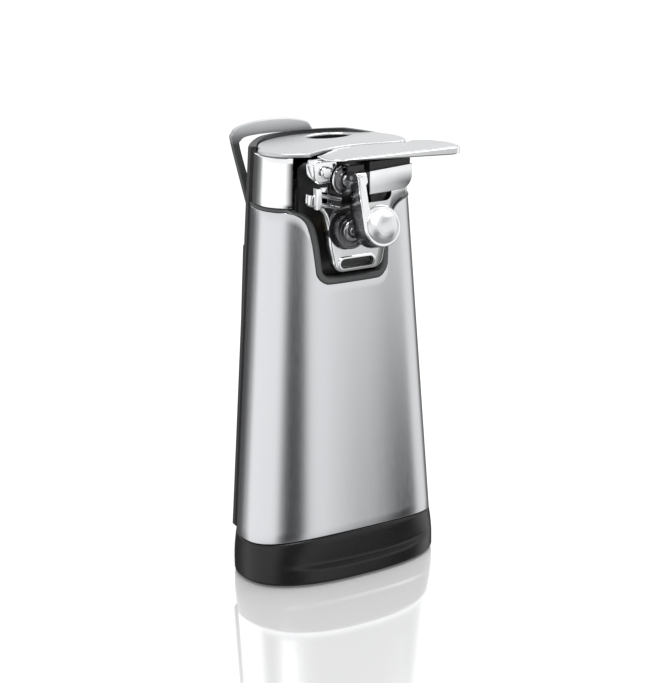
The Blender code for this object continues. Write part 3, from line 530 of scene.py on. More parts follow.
def base():
    """The black moulded base, rounded at its foot and below its wavy top edge."""
    count = 240
    wall_depth, wall_low_z = 3.0, 12.0
    foot_z, foot_edge, top_edge, proud = 1.2, 2.0, 1.0, 0.1
    stations = []
    for i in range(count):
        turn = 360.0 * i / count
        folded = turn if turn <= 180 else turn - 360
        top = wave_z(turn) - 0.3
        ring = [plan_point(turn, foot_z, wall_depth), plan_point(turn, foot_z, 2.2)]
        for k in range(6):
            angle = math.radians(90 * k / 5)
            z, inset = foot_z + foot_edge * (1 - math.cos(angle)), foot_edge * (1 - math.sin(angle)) - proud
            ring.append(plan_point(turn, z, inset))
        rise = 22
        low, high = foot_z + foot_edge, top - 1.4
        for k in range(1, rise):
            z = low + (high - low) * k / rise
            swell = -proud - 0.5 * math.sin(math.pi * k / rise)
            ring.append(plan_point(turn, z, swell + scoop(folded, z)))
        for k in range(5):
            angle = math.radians(90 * k / 4)
            z, inset = top - top_edge * (1 - math.sin(angle)), top_edge * (1 - math.cos(angle)) - proud
            ring.append(plan_point(turn, z, inset))
        ring += [plan_point(turn, top, wall_depth), plan_point(turn, wall_low_z, wall_depth)]
        stations.append([place(*p) for p in ring])
    mesh = closed_mesh("base_moulding", stations, wrap_rows=True)
    hole = [(0, -20.0), (4.7, -20.0), (4.7, 20.0), (0, 20.0)]
    mesh = cut(mesh, lathe("gland_hole", hole, (0, 42, GLAND_Z)))
    add_piece("base_moulding", mesh, "base_plastic", "housing", ["base_shell"])


def rear_rim_z(turn):
    """The rim stands over the plate at the back and runs down to it at the seams."""
    share = min(1.0, min(turn - SEAM_TURN, 360.0 - SEAM_TURN - turn) / RIM_RUN_OUT)
    return SEAM_RIM_Z + (REAR_RIM_Z - SEAM_RIM_Z) * share


def rear_proud(turn):
    """How far the rear shell stands out past the steel: most just behind the seams."""
    from_seam = min(turn - SEAM_TURN, 360.0 - SEAM_TURN - turn)
    return 2.6 * min(1.0, 0.3 + from_seam / 5.0) * (1.0 - 0.8 * min(1.0, from_seam / 60.0))


def rear_shell():
    """The black back of the body, between the two seams."""
    start, end, steps = SEAM_TURN + 0.5, 360.0 - SEAM_TURN - 0.5, 90
    stations = []
    for i in range(steps + 1):
        turn = start + (end - start) * i / steps
        low, high, out = wave_z(turn) + 0.2, rear_rim_z(turn), -rear_proud(turn)
        ring = [(turn, low, SHELL_THICKNESS), (turn, low, out + 0.8), (turn, low + 0.8, out)]
        ring += [(turn, low + (high - low) * k / 12, out) for k in range(1, 12)]
        ring += [(turn, high - 0.9, out), (turn, high - 0.3, out + 0.25)]
        ring += [(turn, high, out + 0.9), (turn, high, SHELL_THICKNESS)]
        stations.append(ring)
    add_piece("rear_shell", band("rear_shell", stations), "black_plastic", "housing",
              ["rear_housing"])


def head_sides():
    """The chrome sheets on both sides of the head, back to the seams."""
    for side, (sign, edge_x) in HEAD_EDGES_X.items():
        edge = turn_at(edge_x, HEAD_TOP_Z)
        steps = 60
        turns = [sign * (edge + (SEAM_TURN - edge) * i / steps) for i in range(steps + 1)]
        name = "head_side_" + side
        low, high = [(t, HEAD_BOTTOM_Z) for t in turns], [(t, HEAD_TOP_Z) for t in turns]
        mesh = wall(name, low, high, 0.4, 2.4, 8, 0.5)
        add_piece(name, mesh, "chrome", "housing", ["head_cover_" + side])


def bezel():
    """The dark bezel: a rounded lip round the bib that runs out into a thin line under the head."""
    outer = top_line(-0.3)
    inner = top_line(-RIM_WIDTH)
    stations = []
    for (turn_a, z_a), (turn_b, z_b) in zip(outer, inner):
        on_side = z_b >= SHOULDER_Z
        low = (turn_a, z_a + (0.3 if z_a >= SHOULDER_Z else 0.0))
        high = (turn_a, z_b + 1.7) if on_side else (turn_b, z_b)
        proud = 0.75 if not on_side else 0.25
        ring = []
        for share, inset in ((0.0, 3.2), (0.0, 0.3), (0.06, -0.3), (0.2, -proud), (0.5, -proud - 0.15),
                             (0.8, -proud), (0.94, -0.3), (1.0, 0.3), (1.0, 3.2)):
            ring.append((low[0] + (high[0] - low[0]) * share, low[1] + (high[1] - low[1]) * share, inset))
        stations.append(ring)
    add_piece("bezel", band("bezel", stations), "grey_plastic", "housing", ["shoulder_trim"])


# ---------------------------------------------------------------- top plate and sharpener

def gap_line():
    return smooth_line([(-25.5, -17.0), (-18.0, -13.2), (-9.5, -9.8), (0.0, -7.6), (10.0, -7.2), (20.0, -8.6),
                        (30.0, -10.4), (38.5, -11.4)], 6)


def oval_funnel(name, half_x, half_y, levels):
    """A closed oval solid whose size changes with height, as (grow, z) levels."""
    x, y = SHARPENER
    return closed_mesh(name, [[place(u, v, z) for u, v in ellipse(x, y, half_x + grow, half_y + grow)]
                              for grow, z in levels])


def plate():
    """The satin plate on top, cut off along the lever's back edge, with its lipped oval opening."""
    overhang = 0.8
    left_turn = turn_at(-26.0, TOP_Z, -overhang)
    right_turn = turn_at(40.0, TOP_Z, -overhang)
    steps = 160
    sweep = 360.0 + left_turn - right_turn
    rim = []
    for i in range(steps + 1):
        turn = right_turn + sweep * i / steps
        behind = share_past(min(turn - right_turn, 360 + left_turn - turn), 62.0, 8.0)
        rim.append(plan_point(turn, TOP_Z, -overhang + 3.6 * behind)[:2])
    mesh = lying("head_plate", rim + gap_line(), PLATE_BOTTOM_Z, TOP_Z, edge=0.9, low_edge=0.5)
    levels = [(0, 240), (0, 246.0), (0.25, 246.6), (0.8, 247.0), (0.8, 250)]
    mesh = cut(mesh, oval_funnel("plate_oval", 14.2, 8.2, levels))
    add_piece("head_plate", mesh, "satin_silver", "housing", ["top_plate"])


def sharpener():
    """The black bowl in the oval opening, with the knives' slot in its floor."""
    x, y = SHARPENER
    mesh = oval_funnel("sharpener_bowl", 13.8, 7.8, [(0, 226.0), (0, 245.6), (-0.6, 246.0)])
    levels = [(-2.4, 241.6), (-0.8, 242.4), (0.3, 244.4), (0.8, 250.0)]
    mesh = cut(mesh, oval_funnel("bowl_dish", 11.0, 5.4, levels))
    slot = rounded_rectangle(x - 9.0, y - 2.6, x + 9.0, y + 2.6, 1.2)
    mesh = cut(mesh, lying("bowl_slot", slot, 230.0, 250.0))
    add_piece("sharpener_bowl", mesh, "matt_black", "housing", ["sharpener_insert"])


# ---------------------------------------------------------------- face plate and drive

def face_outline():
    bottom, half, corner = 181.3, 16.3, 6.5
    right = arc(BIB_X + half - corner, bottom + corner, corner, -90, 0, 10)[:-1]
    run = [(half, bottom + corner), (18.3, 196.5), (19.0, 203.0), (20.2, 209.0), (22.4, 215.0), (27.0, 218.6),
           (31.3, 220.5), (31.3, 226.4)]
    right += smooth_line([(BIB_X + x, z) for x, z in run], 5)
    left = [(2 * BIB_X - x, z) for x, z in reversed(right)]
    return right + left


def face():
    """The chrome face plate, with a round dish for the feed wheel and a lipped oval pocket."""
    mesh = standing("face_shell", face_outline(), FACE_Y, FACE_BACK_Y, edge=1.3)
    ahead, dish_radius, dish_depth, pocket_depth = FACE_Y - 6, 11.6, 2.4, 3.2
    lip = rounded_rectangle(BIB_X - 14.0, 182.2, BIB_X + 10.6, 190.2, 3.9)
    mesh = join(mesh, standing("pocket_lip", lip, FACE_Y - 0.9, FACE_Y + 1.0, edge=0.8))
    pocket = rounded_rectangle(BIB_X - 12.5, 183.5, BIB_X + 9.1, 188.9, 2.7)
    dish = shifted(ellipse(0, 0, dish_radius, dish_radius, 96), *DRIVE)
    mesh = cut(mesh, standing("pocket_hollow", pocket, ahead, FACE_Y + pocket_depth),
               standing("wheel_dish", dish, ahead, FACE_Y + dish_depth),
               standing("shaft_hole", shifted(ellipse(0, 0, 5.3, 5.3), *DRIVE), ahead, 0),
               standing("face_notch", rounded_rectangle(-21.0, 218.4, 19.0, 240.0, 4.0), ahead, 0))
    add_piece("face_shell", mesh, "chrome", "housing", ["face_plate"])
    # A black ring filling the wheel's dish: painted shade and painted dark reflection behind the feed wheel.
    ring = [(6.2, 0.0), (11.2, 0.0), (11.2, -1.2), (6.2, -1.2), (6.2, 0.0)]
    mesh = lathe("dish_painted_shade", ring, (DRIVE[0], FACE_Y + 0.9, DRIVE[1]))
    add_piece("dish_painted_shade", mesh, "black_plastic", "housing", [])
    # A black sheet near the pocket's floor: painted shade and painted dark reflection inside the chrome
    # pocket.
    floor_line = rounded_rectangle(BIB_X - 12.2, 183.8, BIB_X + 8.8, 188.6, 2.4)
    front = FACE_Y + pocket_depth - 0.8
    mesh = standing("pocket_painted_shade", floor_line, front, front + 0.6, edge=0.1, back_edge=0.1)
    add_piece("pocket_painted_shade", mesh, "black_plastic", "housing", [])


def guide():
    """The bracket left of the wheels, with its two sloping round bars."""
    outline = [(-31.5, 218.9), (-23.6, 218.9), (-23.6, 230.4), (-31.5, 230.4)]
    mesh = standing("rim_guide", outline, -31.0, FACE_Y - GAP, edge=0.3)
    cheek = [(-31.5, 218.9), (-28.6, 218.9), (-28.6, 230.4), (-31.5, 230.4)]
    mesh = join(mesh, standing("guide_cheek", cheek, -33.4, -30.0, edge=0.5))
    for number, (z, long) in enumerate(((226.8, 14.6), (222.0, 13.6))):
        start = (-30.4, -32.2, z)
        bar = lathe(f"guide_bar_{number}", [(0, 0), (1.2, 0), (1.2, long), (0, long)], start, "Z", 24)
        mesh = join(mesh, turned_in_place(bar, start, 105, "Y"))
    add_piece("rim_guide", mesh, "chrome", "housing", ["can_guide"])


def tooth_ring(radius, teeth, depth):
    """A round outline with small flat-topped teeth."""
    points = []
    for tooth in range(teeth):
        for offset, reach in ((-0.32, -depth), (-0.16, 0.0), (0.16, 0.0), (0.32, -depth)):
            angle = 2 * math.pi * (tooth + offset) / teeth
            points.append(((radius + reach) * math.cos(angle), (radius + reach) * math.sin(angle)))
    return points


def feed():
    """The serrated wheel, painted dark in place of its shade and dark reflection, with its stepped, polished
    hub.
    """
    teeth = shifted(tooth_ring(FEED_RADIUS, 56, 0.55), *DRIVE)
    mesh = standing("feed_disc", teeth, FEED_FRONT_Y, -30.6, edge=0.12, back_edge=0.12)
    groove = [(6.9, 1.0), (9.0, 1.0), (9.0, -0.7), (6.9, -0.7), (6.9, 1.0)]
    mesh = cut(mesh, lathe("feed_groove", groove, (DRIVE[0], FEED_FRONT_Y, DRIVE[1])))
    # The disc's dark steel is painted shade and painted dark reflection.
    add_piece("feed_disc", mesh, "steel_painted_shade", "drive", ["feed_wheel"])
    hub = [(0, 1.6), (1.8, 1.6), (2.3, 1.1), (4.2, 1.1), (5.6, 0.5), (5.9, 0.05), (0, 0.05)]
    mesh = lathe("feed_hub", hub, (DRIVE[0], FEED_FRONT_Y - 0.1, DRIVE[1]))
    add_piece("feed_hub", mesh, "hard_steel", "drive", [])


# ---------------------------------------------------------------- lever, cutter and magnet

def lever_outline():
    front = arc(-18.0, LEVER_FRONT_Y + 9.5, 9.5, 190, 270, 16)
    tip = smooth_line([(51.0, LEVER_FRONT_Y), (55.8, LEVER_FRONT_Y + 1.2), (58.7, LEVER_FRONT_Y + 4.2),
                       (LEVER_TIP_X, -27.5), (57.6, -20.5), (53.4, -14.2), (48.2, -10.4), (44.5, -9.8),
                       (41.6, -12.0)], 5)
    back = [(x, y - 1.0) for x, y in reversed(gap_line()) if x > -8.0]
    left = smooth_line([(-8.8, -12.4), (-14.0, -15.8), (-20.0, -20.6), (-26.0, -24.0)], 4)
    return front + tip + back + left


def lever_thickness(x):
    """The chrome body is thin over the mechanism at the left and full from the magnet's arm to the tip."""
    thin, extra, taper = 1.3, 3.9, 0.8
    share = share_past(x, -9.0, 7.0)
    return thin + extra * share * share * (3 - 2 * share) - taper * share_past(x, 20.0, 30.0)


def inlay_line(outline):
    """The satin inlay follows the slab's edge, and leaves a wider chrome crescent at its left back corner."""
    made = []
    for x, y in drawn_in(outline, 1.2):
        along = share_past(x, -27.0, 36.0)
        behind = share_past(y, -27.0, 6.0)
        made.append((x, y - 3.4 * math.sin(math.pi * along) * behind))
    return made


def lever():
    """The wing-shaped slab: a chrome body with a satin inlay on top."""
    outline = anticlockwise(lever_outline())
    rows = []
    for inset, drop in ((3.0, 0.0), (0.5, 0.0), (0.15, 0.15), (0.0, 0.5), (0.0, 0.65)):
        rows.append([place(x, y, LEVER_TOP_Z - lever_thickness(x) + drop)
                     for x, y in drawn_in(outline, inset)])
    for inset, drop in ((0.0, 1.05), (0.0, 0.9), (0.12, 0.6), (0.4, 0.4), (1.0, 0.35)):
        rows.append([place(x, y, LEVER_TOP_Z - drop) for x, y in drawn_in(outline, inset)])
    add_piece("lever_body", closed_mesh("lever_body", rows), "chrome", "lever", ["lever_cap"])
    inlay = inlay_line(outline)
    mesh = lying("lever_inlay", inlay, LEVER_TOP_Z - 0.34, LEVER_TOP_Z, edge=0.25, low_edge=0.05)
    add_piece("lever_inlay", mesh, "satin_silver", "lever", [])


def lever_under():
    """The chrome housing, dark web, apron and pivot under the slab."""
    top = LEVER_BOTTOM_Z - GAP
    high = top + 2.8
    left = [(-28.8, 232.0), (-17.0, 232.0), (-17.0, high), (-31.4, high), (-32.8, top), (-32.2, 236.0),
            (-30.8, 233.4)]
    mesh = standing("lever_housing", left, HOUSING_Y, WEB_BACK_Y - 0.2, edge=1.4, back_edge=0.4)
    web = [(-19.0, 227.0), (30.0, 227.0), (30.0, top), (-19.0, top)]
    bore = ellipse(0, 0, BORE_RADIUS, BORE_RADIUS)
    holes = [standing("pivot_hole", shifted(bore, *PIVOT), -50, 0),
             standing("cutter_hole", shifted(bore, *CUTTER), -50, 0)]
    add_piece("lever_housing", cut(mesh, *holes), "chrome", "lever", ["lever_frame"])
    mesh = cut(standing("lever_web", web, WEB_Y, WEB_BACK_Y, edge=0.4), *holes)
    add_piece("lever_web", mesh, "black_plastic", "lever", [])
    outline = arc(21.0, 232.6, 7.5, -78, 0, 16) + [(28.5, 238.8), (0.6, 237.2), (0.8, 224.3), (12.0, 224.6)]
    mesh = standing("apron", outline, -35.2, -34.0, edge=0.45)
    ledge = [(2.0, 235.4), (28.0, 235.4), (28.0, 237.0), (2.0, 237.0)]
    mesh = join(mesh, standing("apron_ledge", ledge, -34.6, WEB_Y - GAP, edge=0.3))
    add_piece("apron", mesh, "chrome", "lever", ["lever_apron"])
    pin = [(0, 2.2), (2.4, 2.2), (3.4, 1.4), (3.4, 0.2), (2.0, 0.2), (2.0, -21.2), (0, -21.2)]
    mesh = lathe("pivot_pin", pin, (PIVOT[0], -30.9, PIVOT[1]))
    add_piece("pivot_pin", mesh, "chrome", "housing", ["lever_pin"])


def cutting_disc():
    """The cutting disc, its bright edge, and the screw that it turns on."""
    edge = CUTTER_RADIUS
    profile = [(BORE_RADIUS, 1.6), (4.6, 1.6), (5.2, 1.0), (7.0, 0.6), (edge - 0.5, 0.0), (edge - 0.5, -1.0),
               (BORE_RADIUS, -1.1), (BORE_RADIUS, 1.6)]
    middle = (CUTTER[0], CUTTER_Y, CUTTER[1])
    mesh = lathe("cutting_disc", profile, middle, steps=96, soft=0.15)
    # The disc's dark steel is painted shade and painted dark reflection. Its bright edge is the separate
    # chrome ring below.
    add_piece("cutting_disc", mesh, "steel_painted_shade", "cutter", ["cutter_wheel"])
    rim = [(edge - 0.45, 0.0), (edge, -0.4), (edge, -0.9), (edge - 0.45, -1.0), (edge - 0.45, 0.0)]
    mesh = lathe("disc_edge", rim, middle, steps=96, soft=0.1)
    add_piece("disc_edge", mesh, "chrome", "cutter", [])
    screw = [(0, 3.0), (2.6, 2.9), (3.4, 2.3), (3.4, 1.9), (2.0, 1.9), (2.0, -1.3), (3.2, -1.3), (3.2, -5.9),
             (2.0, -5.9), (2.0, -10.0), (0, -10.0)]
    mesh = lathe("disc_screw", screw, middle, steps=48)
    drive_slot = [(CUTTER[0] - 4, CUTTER[1] - 0.45), (CUTTER[0] + 4, CUTTER[1] - 0.45),
                  (CUTTER[0] + 4, CUTTER[1] + 0.45), (CUTTER[0] - 4, CUTTER[1] + 0.45)]
    mesh = cut(mesh, standing("screw_slot", drive_slot, -38.0, -34.9, edge=0.05, back_edge=0.05))
    add_piece("disc_screw", mesh, "zinc_steel", "lever", ["cutter_screw"])


def hung(mesh):
    """A mesh drawn round the magnet's hinge, tilted and moved to where it hangs."""
    hinge = Matrix.Translation(place(*HINGE)) @ Matrix.Rotation(math.radians(MAGNET_TILT), 4, "X")
    mesh.transform(hinge @ Matrix.Translation(-place(0, 0, 0)))
    return mesh


def arm_outline():
    """The strip that runs down and opens round the magnet's cap."""
    left = [(-ARM_HALF_WIDTH, 0.5), (-ARM_HALF_WIDTH, -MAGNET_DROP)]
    reach = MAGNET_AHEAD_X + ARM_HALF_WIDTH
    steps = 56
    swept = []
    for i in range(1, steps + 1):
        angle = math.radians(180 + 305 * i / steps)
        radius = reach + (CAP_RADIUS - reach) * i / steps
        swept.append((MAGNET_AHEAD_X + radius * math.cos(angle), -MAGNET_DROP + radius * math.sin(angle)))
    neck = 1.6
    return left + swept + [(neck, -17.0), (neck, -5.0), (ARM_HALF_WIDTH, -3.4), (ARM_HALF_WIDTH, 0.5)]


def side_wall(name, top, sweep, depth):
    """The folded side of the arm, from a height down and round under the cap by a sweep in degrees."""
    reach, thick = MAGNET_AHEAD_X + ARM_HALF_WIDTH, 1.2
    rim, inner = [(-ARM_HALF_WIDTH, top)], [(thick - ARM_HALF_WIDTH, top)]
    steps = 16 if sweep else 0
    for i in range(steps + 1):
        angle = math.radians(180 + (sweep * i / steps if steps else 0))
        for line, radius in ((rim, reach), (inner, reach - thick)):
            line.append((MAGNET_AHEAD_X + radius * math.cos(angle), -MAGNET_DROP + radius * math.sin(angle)))
    return standing(name, rim + inner[::-1], -2.4, depth, edge=0.2, back_edge=0.4)


def magnet_arm():
    """The chrome arm, with its folded sides painted dark in place of their shade and dark reflections, and
    the magnet's cap.
    """
    mesh = standing("arm", arm_outline(), ARM_FACE_Y - 1.4, ARM_FACE_Y, edge=0.5)
    sides = join(side_wall("arm_sides", -3.0, 0, 5.4), side_wall("arm_side", -8.0, 0, 7.4),
                 side_wall("arm_skirt", -13.0, 118, 9.4))
    knuckle = lathe("arm_knuckle", [(0, -3.1), (2.7, -3.1), (2.7, 3.1), (0, 3.1)], (0, 0, 0), "Z", 48, 0.3)
    mesh = join(mesh, turned_in_place(knuckle, (0, 0, 0), 90, "Y"))
    bore = [(0, -9), (HINGE_BORE_RADIUS, -9), (HINGE_BORE_RADIUS, 9), (0, 9)]
    pin_hole = lathe("arm_pin_hole", bore, (0, 0, 0), "Z", 32)
    window = shifted(ellipse(0, 0, 9.6, 9.6, 96), MAGNET_AHEAD_X, -MAGNET_DROP)
    mesh = cut(mesh, turned_in_place(pin_hole, (0, 0, 0), 90, "Y"), standing("arm_window", window, -12, 12))
    add_piece("arm", hung(mesh), "chrome", "magnet_arm", ["magnet_arm"])
    face_space = rounded_rectangle(-20, -60, 40, 20, 1.0)
    sides = cut(sides, standing("arm_face_space", face_space, -12, ARM_FACE_Y + 0.05))
    # The folded sides are chrome like the arm. Their dark steel is painted shade and painted dark reflection.
    add_piece("arm_sides", hung(sides), "steel_painted_shade", "magnet_arm", [])
    dome = [(0, 7.9), (2.0, 7.8), (4.0, 7.45), (6.0, 6.8), (7.6, 5.9), (8.8, 4.9), (9.6, 4.0), (9.8, 3.5),
            (9.0, 3.3), (9.0, -5.6), (8.2, -5.6), (8.2, -3.4), (0, -3.4)]
    mesh = lathe("cap", dome, (MAGNET_AHEAD_X, 0, -MAGNET_DROP), steps=112, soft=0.35)
    add_piece("cap", hung(mesh), "pearl_chrome", "magnet_arm", ["magnet_cap"])


def hinge():
    """The black block under the lever that the magnet's arm hangs from."""
    x, y, z = HINGE
    top = LEVER_BOTTOM_Z - GAP
    block = [(x - 5, z - 2.0), (x + 5, z - 2.0), (x + 5, top), (x - 5, top)]
    mesh = standing("hinge_mount", block, -37.9, -35.7, edge=0.3)
    for number, low in enumerate((x - 5, x + 3.4)):
        lug = [(low, z - 2.0), (low + 1.6, z - 2.0), (low + 1.6, z + 2.4), (low, z + 2.4)]
        mesh = join(mesh, standing(f"hinge_lug_{number}", lug, y - 2.4, -37.0, edge=0.7))
    bore = [(0, -9), (HINGE_BORE_RADIUS, -9), (HINGE_BORE_RADIUS, 9), (0, 9)]
    mesh = cut(mesh, turned_in_place(lathe("hinge_bore", bore, HINGE, "Z", 32), HINGE, 90, "Y"))
    add_piece("hinge_mount", mesh, "black_plastic", "lever", ["hinge_block"])


# ---------------------------------------------------------------- dock and multi-tool

def rear_y(x, z):
    half_width = plan_point(90, z)[0]
    centre = TOP_CENTRE_Y * z / TOP_Z
    depth = plan_point(180, z)[1] - centre
    return centre + depth * math.sqrt(max(0.0, 1 - (x / half_width) ** 2))


def dock_ring(z, inset):
    share = (z - DOCK_BOTTOM_Z) / (DOCK_TOP_Z - DOCK_BOTTOM_Z)
    half = DOCK_BOTTOM_HALF_WIDTH + (DOCK_TOP_HALF_WIDTH - DOCK_BOTTOM_HALF_WIDTH) * share - inset
    back = DOCK_BACK_Y - inset
    corner = DOCK_CORNER - inset
    behind = arc(half - corner, back - corner, corner, 0, 90, 8)
    behind += arc(corner - half, back - corner, corner, 90, 180, 8)
    steps = 40
    along = [-half + 2 * half * i / steps for i in range(steps + 1)]
    front = [(x, rear_y(x, z) + 1.1 + inset) for x in along]
    return [place(x, y, z) for x, y in behind + front]


def dock():
    """The pocket on the back that the tool stands in, hollow below the pocket's floor too."""
    edge = 1.0
    rows = []
    for i in range(5):
        angle = math.radians(90 * i / 4)
        rows.append(dock_ring(DOCK_BOTTOM_Z + edge * (1 - math.cos(angle)), edge * (1 - math.sin(angle))))
    rows += [dock_ring(z, 0.0) for z in (45.0, 75.0, 105.0, 135.0, 160.0)]
    lip = 0.6
    for i in range(4):
        angle = math.radians(30 * i)
        rows.append(dock_ring(DOCK_TOP_Z - lip * (1 - math.sin(angle)), lip * (1 - math.cos(angle))))
    mesh = closed_mesh("dock", rows)
    pocket = closed_mesh("pocket", [dock_ring(z, DOCK_WALL) for z in (102.0, 140.0, DOCK_TOP_Z + 6)])
    hollow = closed_mesh("hollow", [dock_ring(z, DOCK_WALL) for z in (DOCK_BOTTOM_Z - 4, 60.0, 100.0)])
    add_piece("dock", cut(mesh, pocket, hollow), "black_plastic", "housing", ["tool_dock"])


def mirrored_loop(right):
    """A closed outline from its right half, which runs from the bottom up to the middle of the top."""
    return right + [(-x, z) for x, z in reversed(right[:-1])]


def tool():
    """The flat tool in the dock: a blade below and a loop to pull it by."""
    handle = [(7.0, 104.0), (9.5, 120.0), (13.0, 150.0), (13.0, 176.0), (11.0, 186.0), (18.8, 215.8)]
    handle += [(26.3, 244.5), (26.0, 249.5), (22.5, 252.8), (12.0, 255.3), (0.0, 256.0)]
    opening = [(5.0, 197.0), (13.8, 216.5), (21.2, 241.0), (20.6, 245.2), (17.0, 247.2), (8.0, 247.9)]
    opening += [(0.0, 248.0)]
    front, back = TOOL_Y - TOOL_HALF_THICKNESS, TOOL_Y + TOOL_HALF_THICKNESS
    outline = shifted(mirrored_loop(smooth_line(handle, 4)), TOOL_X, 0)
    mesh = standing("loop_tool", outline, front, back, edge=1.0, back_edge=1.0)
    window = shifted(mirrored_loop(smooth_line(opening, 4)), TOOL_X, 0)
    mesh = cut(mesh, standing("loop_window", window, front - 2, back + 2))
    add_piece("loop_tool", mesh, "gloss_plastic", "tool", ["multi_tool"])


# ---------------------------------------------------------------- small pieces

def small_pieces():
    """The rubber feet, the cord's inlet and the switch's button."""
    for number, (x, y) in enumerate([(-44.0, -16.0), (44.0, -16.0), (-36.0, 24.0), (36.0, 24.0)], 1):
        foot = [(0, 0.0), (4.6, 0.0), (6.0, 0.5), (6.0, 1.35), (0, 1.35)]
        mesh = lathe(f"pad_{number}", foot, (x, y, 0), "Z", 48, 0.2)
        add_piece(f"pad_{number}", mesh, "rubber", "housing", [f"foot_{number}"])
    sleeve = [(3.0, 7.5), (4.3, 7.5), (4.3, -0.6), (6.2, -0.6), (6.2, -3.0), (3.0, -3.0), (3.0, 7.5)]
    mesh = lathe("inlet", sleeve, (0, 43.6, GLAND_Z), steps=48, soft=0.5)
    add_piece("inlet", mesh, "rubber", "housing", ["cord_gland"])
    button = [(0, 4.5), (2.0, 4.5), (2.6, 3.9), (2.6, 2.5), (1.5, 2.5), (1.5, -8.5), (0, -8.5)]
    mesh = lathe("button", button, (20.0, -15.0, 235.0), steps=40)
    add_piece("button", mesh, "grey_plastic", "plunger", ["switch_plunger"])


# ---------------------------------------------------------------- studio

def camera():
    """A long lens ahead and to the left of the object, looking slightly down."""
    azimuth, elevation = math.radians(CAMERA_AZIMUTH), math.radians(CAMERA_ELEVATION)
    back = Vector((math.sin(azimuth) * math.cos(elevation), -math.cos(azimuth) * math.cos(elevation),
                   math.sin(elevation)))
    data = bpy.data.cameras.new("camera")
    data.lens = CAMERA_LENS
    made = bpy.data.objects.new("camera", data)
    bpy.context.scene.collection.objects.link(made)
    made.location = place(*CAMERA_PLACE)
    made.rotation_mode = "QUATERNION"
    made.rotation_quaternion = (-back).to_track_quat("-Z", "Y")
    data.clip_end = 50.0
    bpy.context.scene.camera = made


def floor():
    """A wide white floor that mirrors the object faintly and that glossy pieces don't reflect."""
    mesh = bpy.data.meshes.new("floor")
    bm = bmesh.new()
    bmesh.ops.create_circle(bm, cap_ends=True, segments=96, radius=12.0)
    bm.to_mesh(mesh)
    bm.free()
    made = bpy.data.objects.new("floor", mesh)
    bpy.context.scene.collection.objects.link(made)
    white = bpy.data.materials.new("floor_white")
    white.use_nodes = True
    shader = white.node_tree.nodes["Principled BSDF"]
    shader.inputs["Base Color"].default_value = (0.96, 0.96, 0.96, 1)
    shader.inputs["Metallic"].default_value = 0.55
    shader.inputs["Roughness"].default_value = 0.06
    shader.inputs["Emission Color"].default_value = (1, 1, 1, 1)
    shader.inputs["Emission Strength"].default_value = 0.12
    mesh.materials.append(white)
    made.visible_glossy = False


# Bands of the studio round the object: (direction in degrees from the front towards +X, brightness).
# The level bands are what upright surfaces reflect near the top, the low bands near the foot.
LEVEL_BANDS = [(-180, 0.08), (-160, 0.12), (-148, 0.30), (-136, 1.15), (-46, 1.15), (-30, 0.03), (-9, 0.03),
               (-1, 1.10), (12, 1.10), (45, 0.95), (66, 1.05), (102, 1.0), (112, 0.10), (150, 0.08),
               (180, 0.08)]
LOW_BANDS = [(-180, 0.08), (-160, 0.12), (-148, 0.30), (-136, 1.15), (-54, 1.05), (-38, 0.03), (-9, 0.03),
             (-1, 1.05), (12, 0.98), (30, 0.62), (40, 0.26), (50, 0.0), (70, 0.0), (78, 0.95), (102, 1.0),
             (112, 0.10), (180, 0.08)]
# What hangs over the object: (height as a share of straight up, brightness).
OVERHEAD = [(0.0, 1.0), (0.36, 1.0), (0.46, 0.16), (0.72, 0.16), (0.86, 1.15), (1.0, 1.15)]


def level_ramp(tree, levels, shares):
    """A colour ramp through the brightness levels, read at the given shares."""
    ramp = tree.nodes.new("ShaderNodeValToRGB")
    elements = ramp.color_ramp.elements
    while len(elements) < len(levels):
        elements.new(0.5)
    for element, share, level in zip(elements, shares, levels):
        element.position = share
        element.color = (level, level, level, 1)
    return ramp


def rising(tree, source, low, high):
    """0 below low, 1 above high and even in between."""
    made = tree.nodes.new("ShaderNodeMapRange")
    made.inputs["From Min"].default_value = low
    made.inputs["From Max"].default_value = high
    tree.links.new(source, made.inputs["Value"])
    return made.outputs["Result"]


def blend(tree, share, first, second):
    made = tree.nodes.new("ShaderNodeMix")
    made.data_type = "RGBA"
    tree.links.new(share, made.inputs["Factor"])
    tree.links.new(first, made.inputs[6])
    tree.links.new(second, made.inputs[7])
    return made.outputs[2]


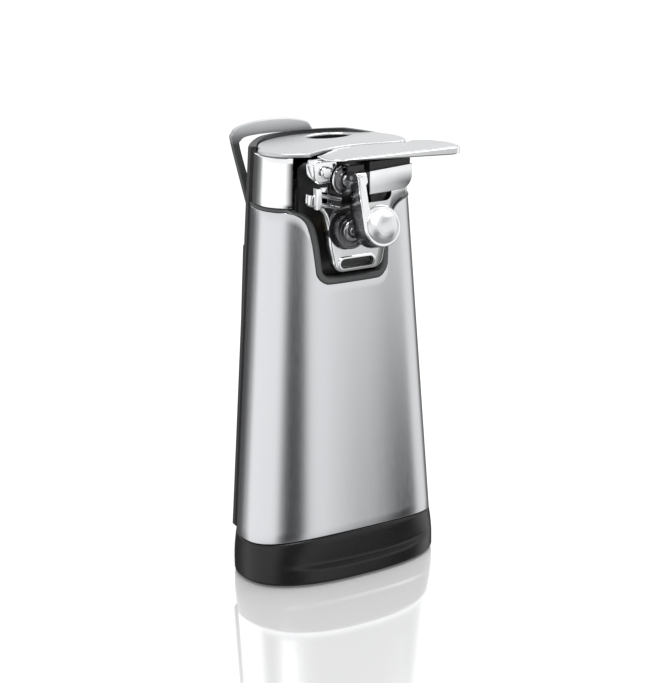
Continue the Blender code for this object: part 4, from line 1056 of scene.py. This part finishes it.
def studio():
    """Soft panels all round, with dark gaps between them, as a world."""
    world = bpy.data.worlds.new("studio")
    bpy.context.scene.world = world
    world.use_nodes = True
    tree = world.node_tree
    nodes, links = tree.nodes, tree.links
    direction = nodes.new("ShaderNodeTexCoord")
    split = nodes.new("ShaderNodeSeparateXYZ")
    links.new(direction.outputs["Generated"], split.inputs[0])
    ahead = nodes.new("ShaderNodeMath")
    ahead.operation = "MULTIPLY"
    ahead.inputs[1].default_value = -1.0
    links.new(split.outputs["Y"], ahead.inputs[0])
    angle = nodes.new("ShaderNodeMath")
    angle.operation = "ARCTAN2"
    links.new(split.outputs["X"], angle.inputs[0])
    links.new(ahead.outputs[0], angle.inputs[1])
    around = rising(tree, angle.outputs[0], -math.pi, math.pi)
    bands = []
    for table in (LOW_BANDS, LEVEL_BANDS):
        ramp = level_ramp(tree, [level for _, level in table], [degrees / 360 + 0.5 for degrees, _ in table])
        links.new(around, ramp.inputs["Fac"])
        bands.append(ramp.outputs["Color"])
    height = split.outputs["Z"]
    walls = blend(tree, rising(tree, height, -0.27, -0.12), *bands)
    over = level_ramp(tree, [level for _, level in OVERHEAD], [share for share, _ in OVERHEAD])
    links.new(height, over.inputs["Fac"])
    white = level_ramp(tree, [1.0, 1.0], [0.0, 1.0])
    links.new(height, white.inputs["Fac"])
    in_front = rising(tree, ahead.outputs[0], -0.25, 0.15)
    above = blend(tree, in_front, white.outputs["Color"], over.outputs["Color"])
    upper = blend(tree, rising(tree, height, -0.02, 0.05), walls, above)
    table_grey = level_ramp(tree, [0.30, 0.30], [0.0, 1.0])
    links.new(height, table_grey.inputs["Fac"])
    lit = blend(tree, rising(tree, height, -0.62, -0.46), table_grey.outputs["Color"], upper)
    links.new(lit, nodes["Background"].inputs["Color"])


def lights():
    """Two round soft lights above the object, in metres and watts."""
    size = 0.9
    for name, spot, power in (("key", (-0.5, -0.9, 1.5), 16.0), ("fill", (0.9, -0.2, 1.3), 8.0)):
        data = bpy.data.lights.new(name, "AREA")
        data.shape = "DISK"
        data.size = size
        data.energy = power
        made = bpy.data.objects.new(name, data)
        bpy.context.scene.collection.objects.link(made)
        made.location = spot
        made.rotation_mode = "QUATERNION"
        made.rotation_quaternion = (Vector((0, 0, 0.12)) - Vector(spot)).to_track_quat("-Z", "Y")


def build():
    make_finishes()
    lighten_loop()
    dress_cad_nodes()
    camera()
    floor()
    studio()
    lights()
    steel()
    base()
    rear_shell()
    head_sides()
    bezel()
    plate()
    sharpener()
    face()
    guide()
    feed()
    lever()
    lever_under()
    cutting_disc()
    magnet_arm()
    hinge()
    dock()
    tool()
    small_pieces()
    bpy.context.scene.view_settings.view_transform = "Standard"


build()
bpy.context.view_layer.update()
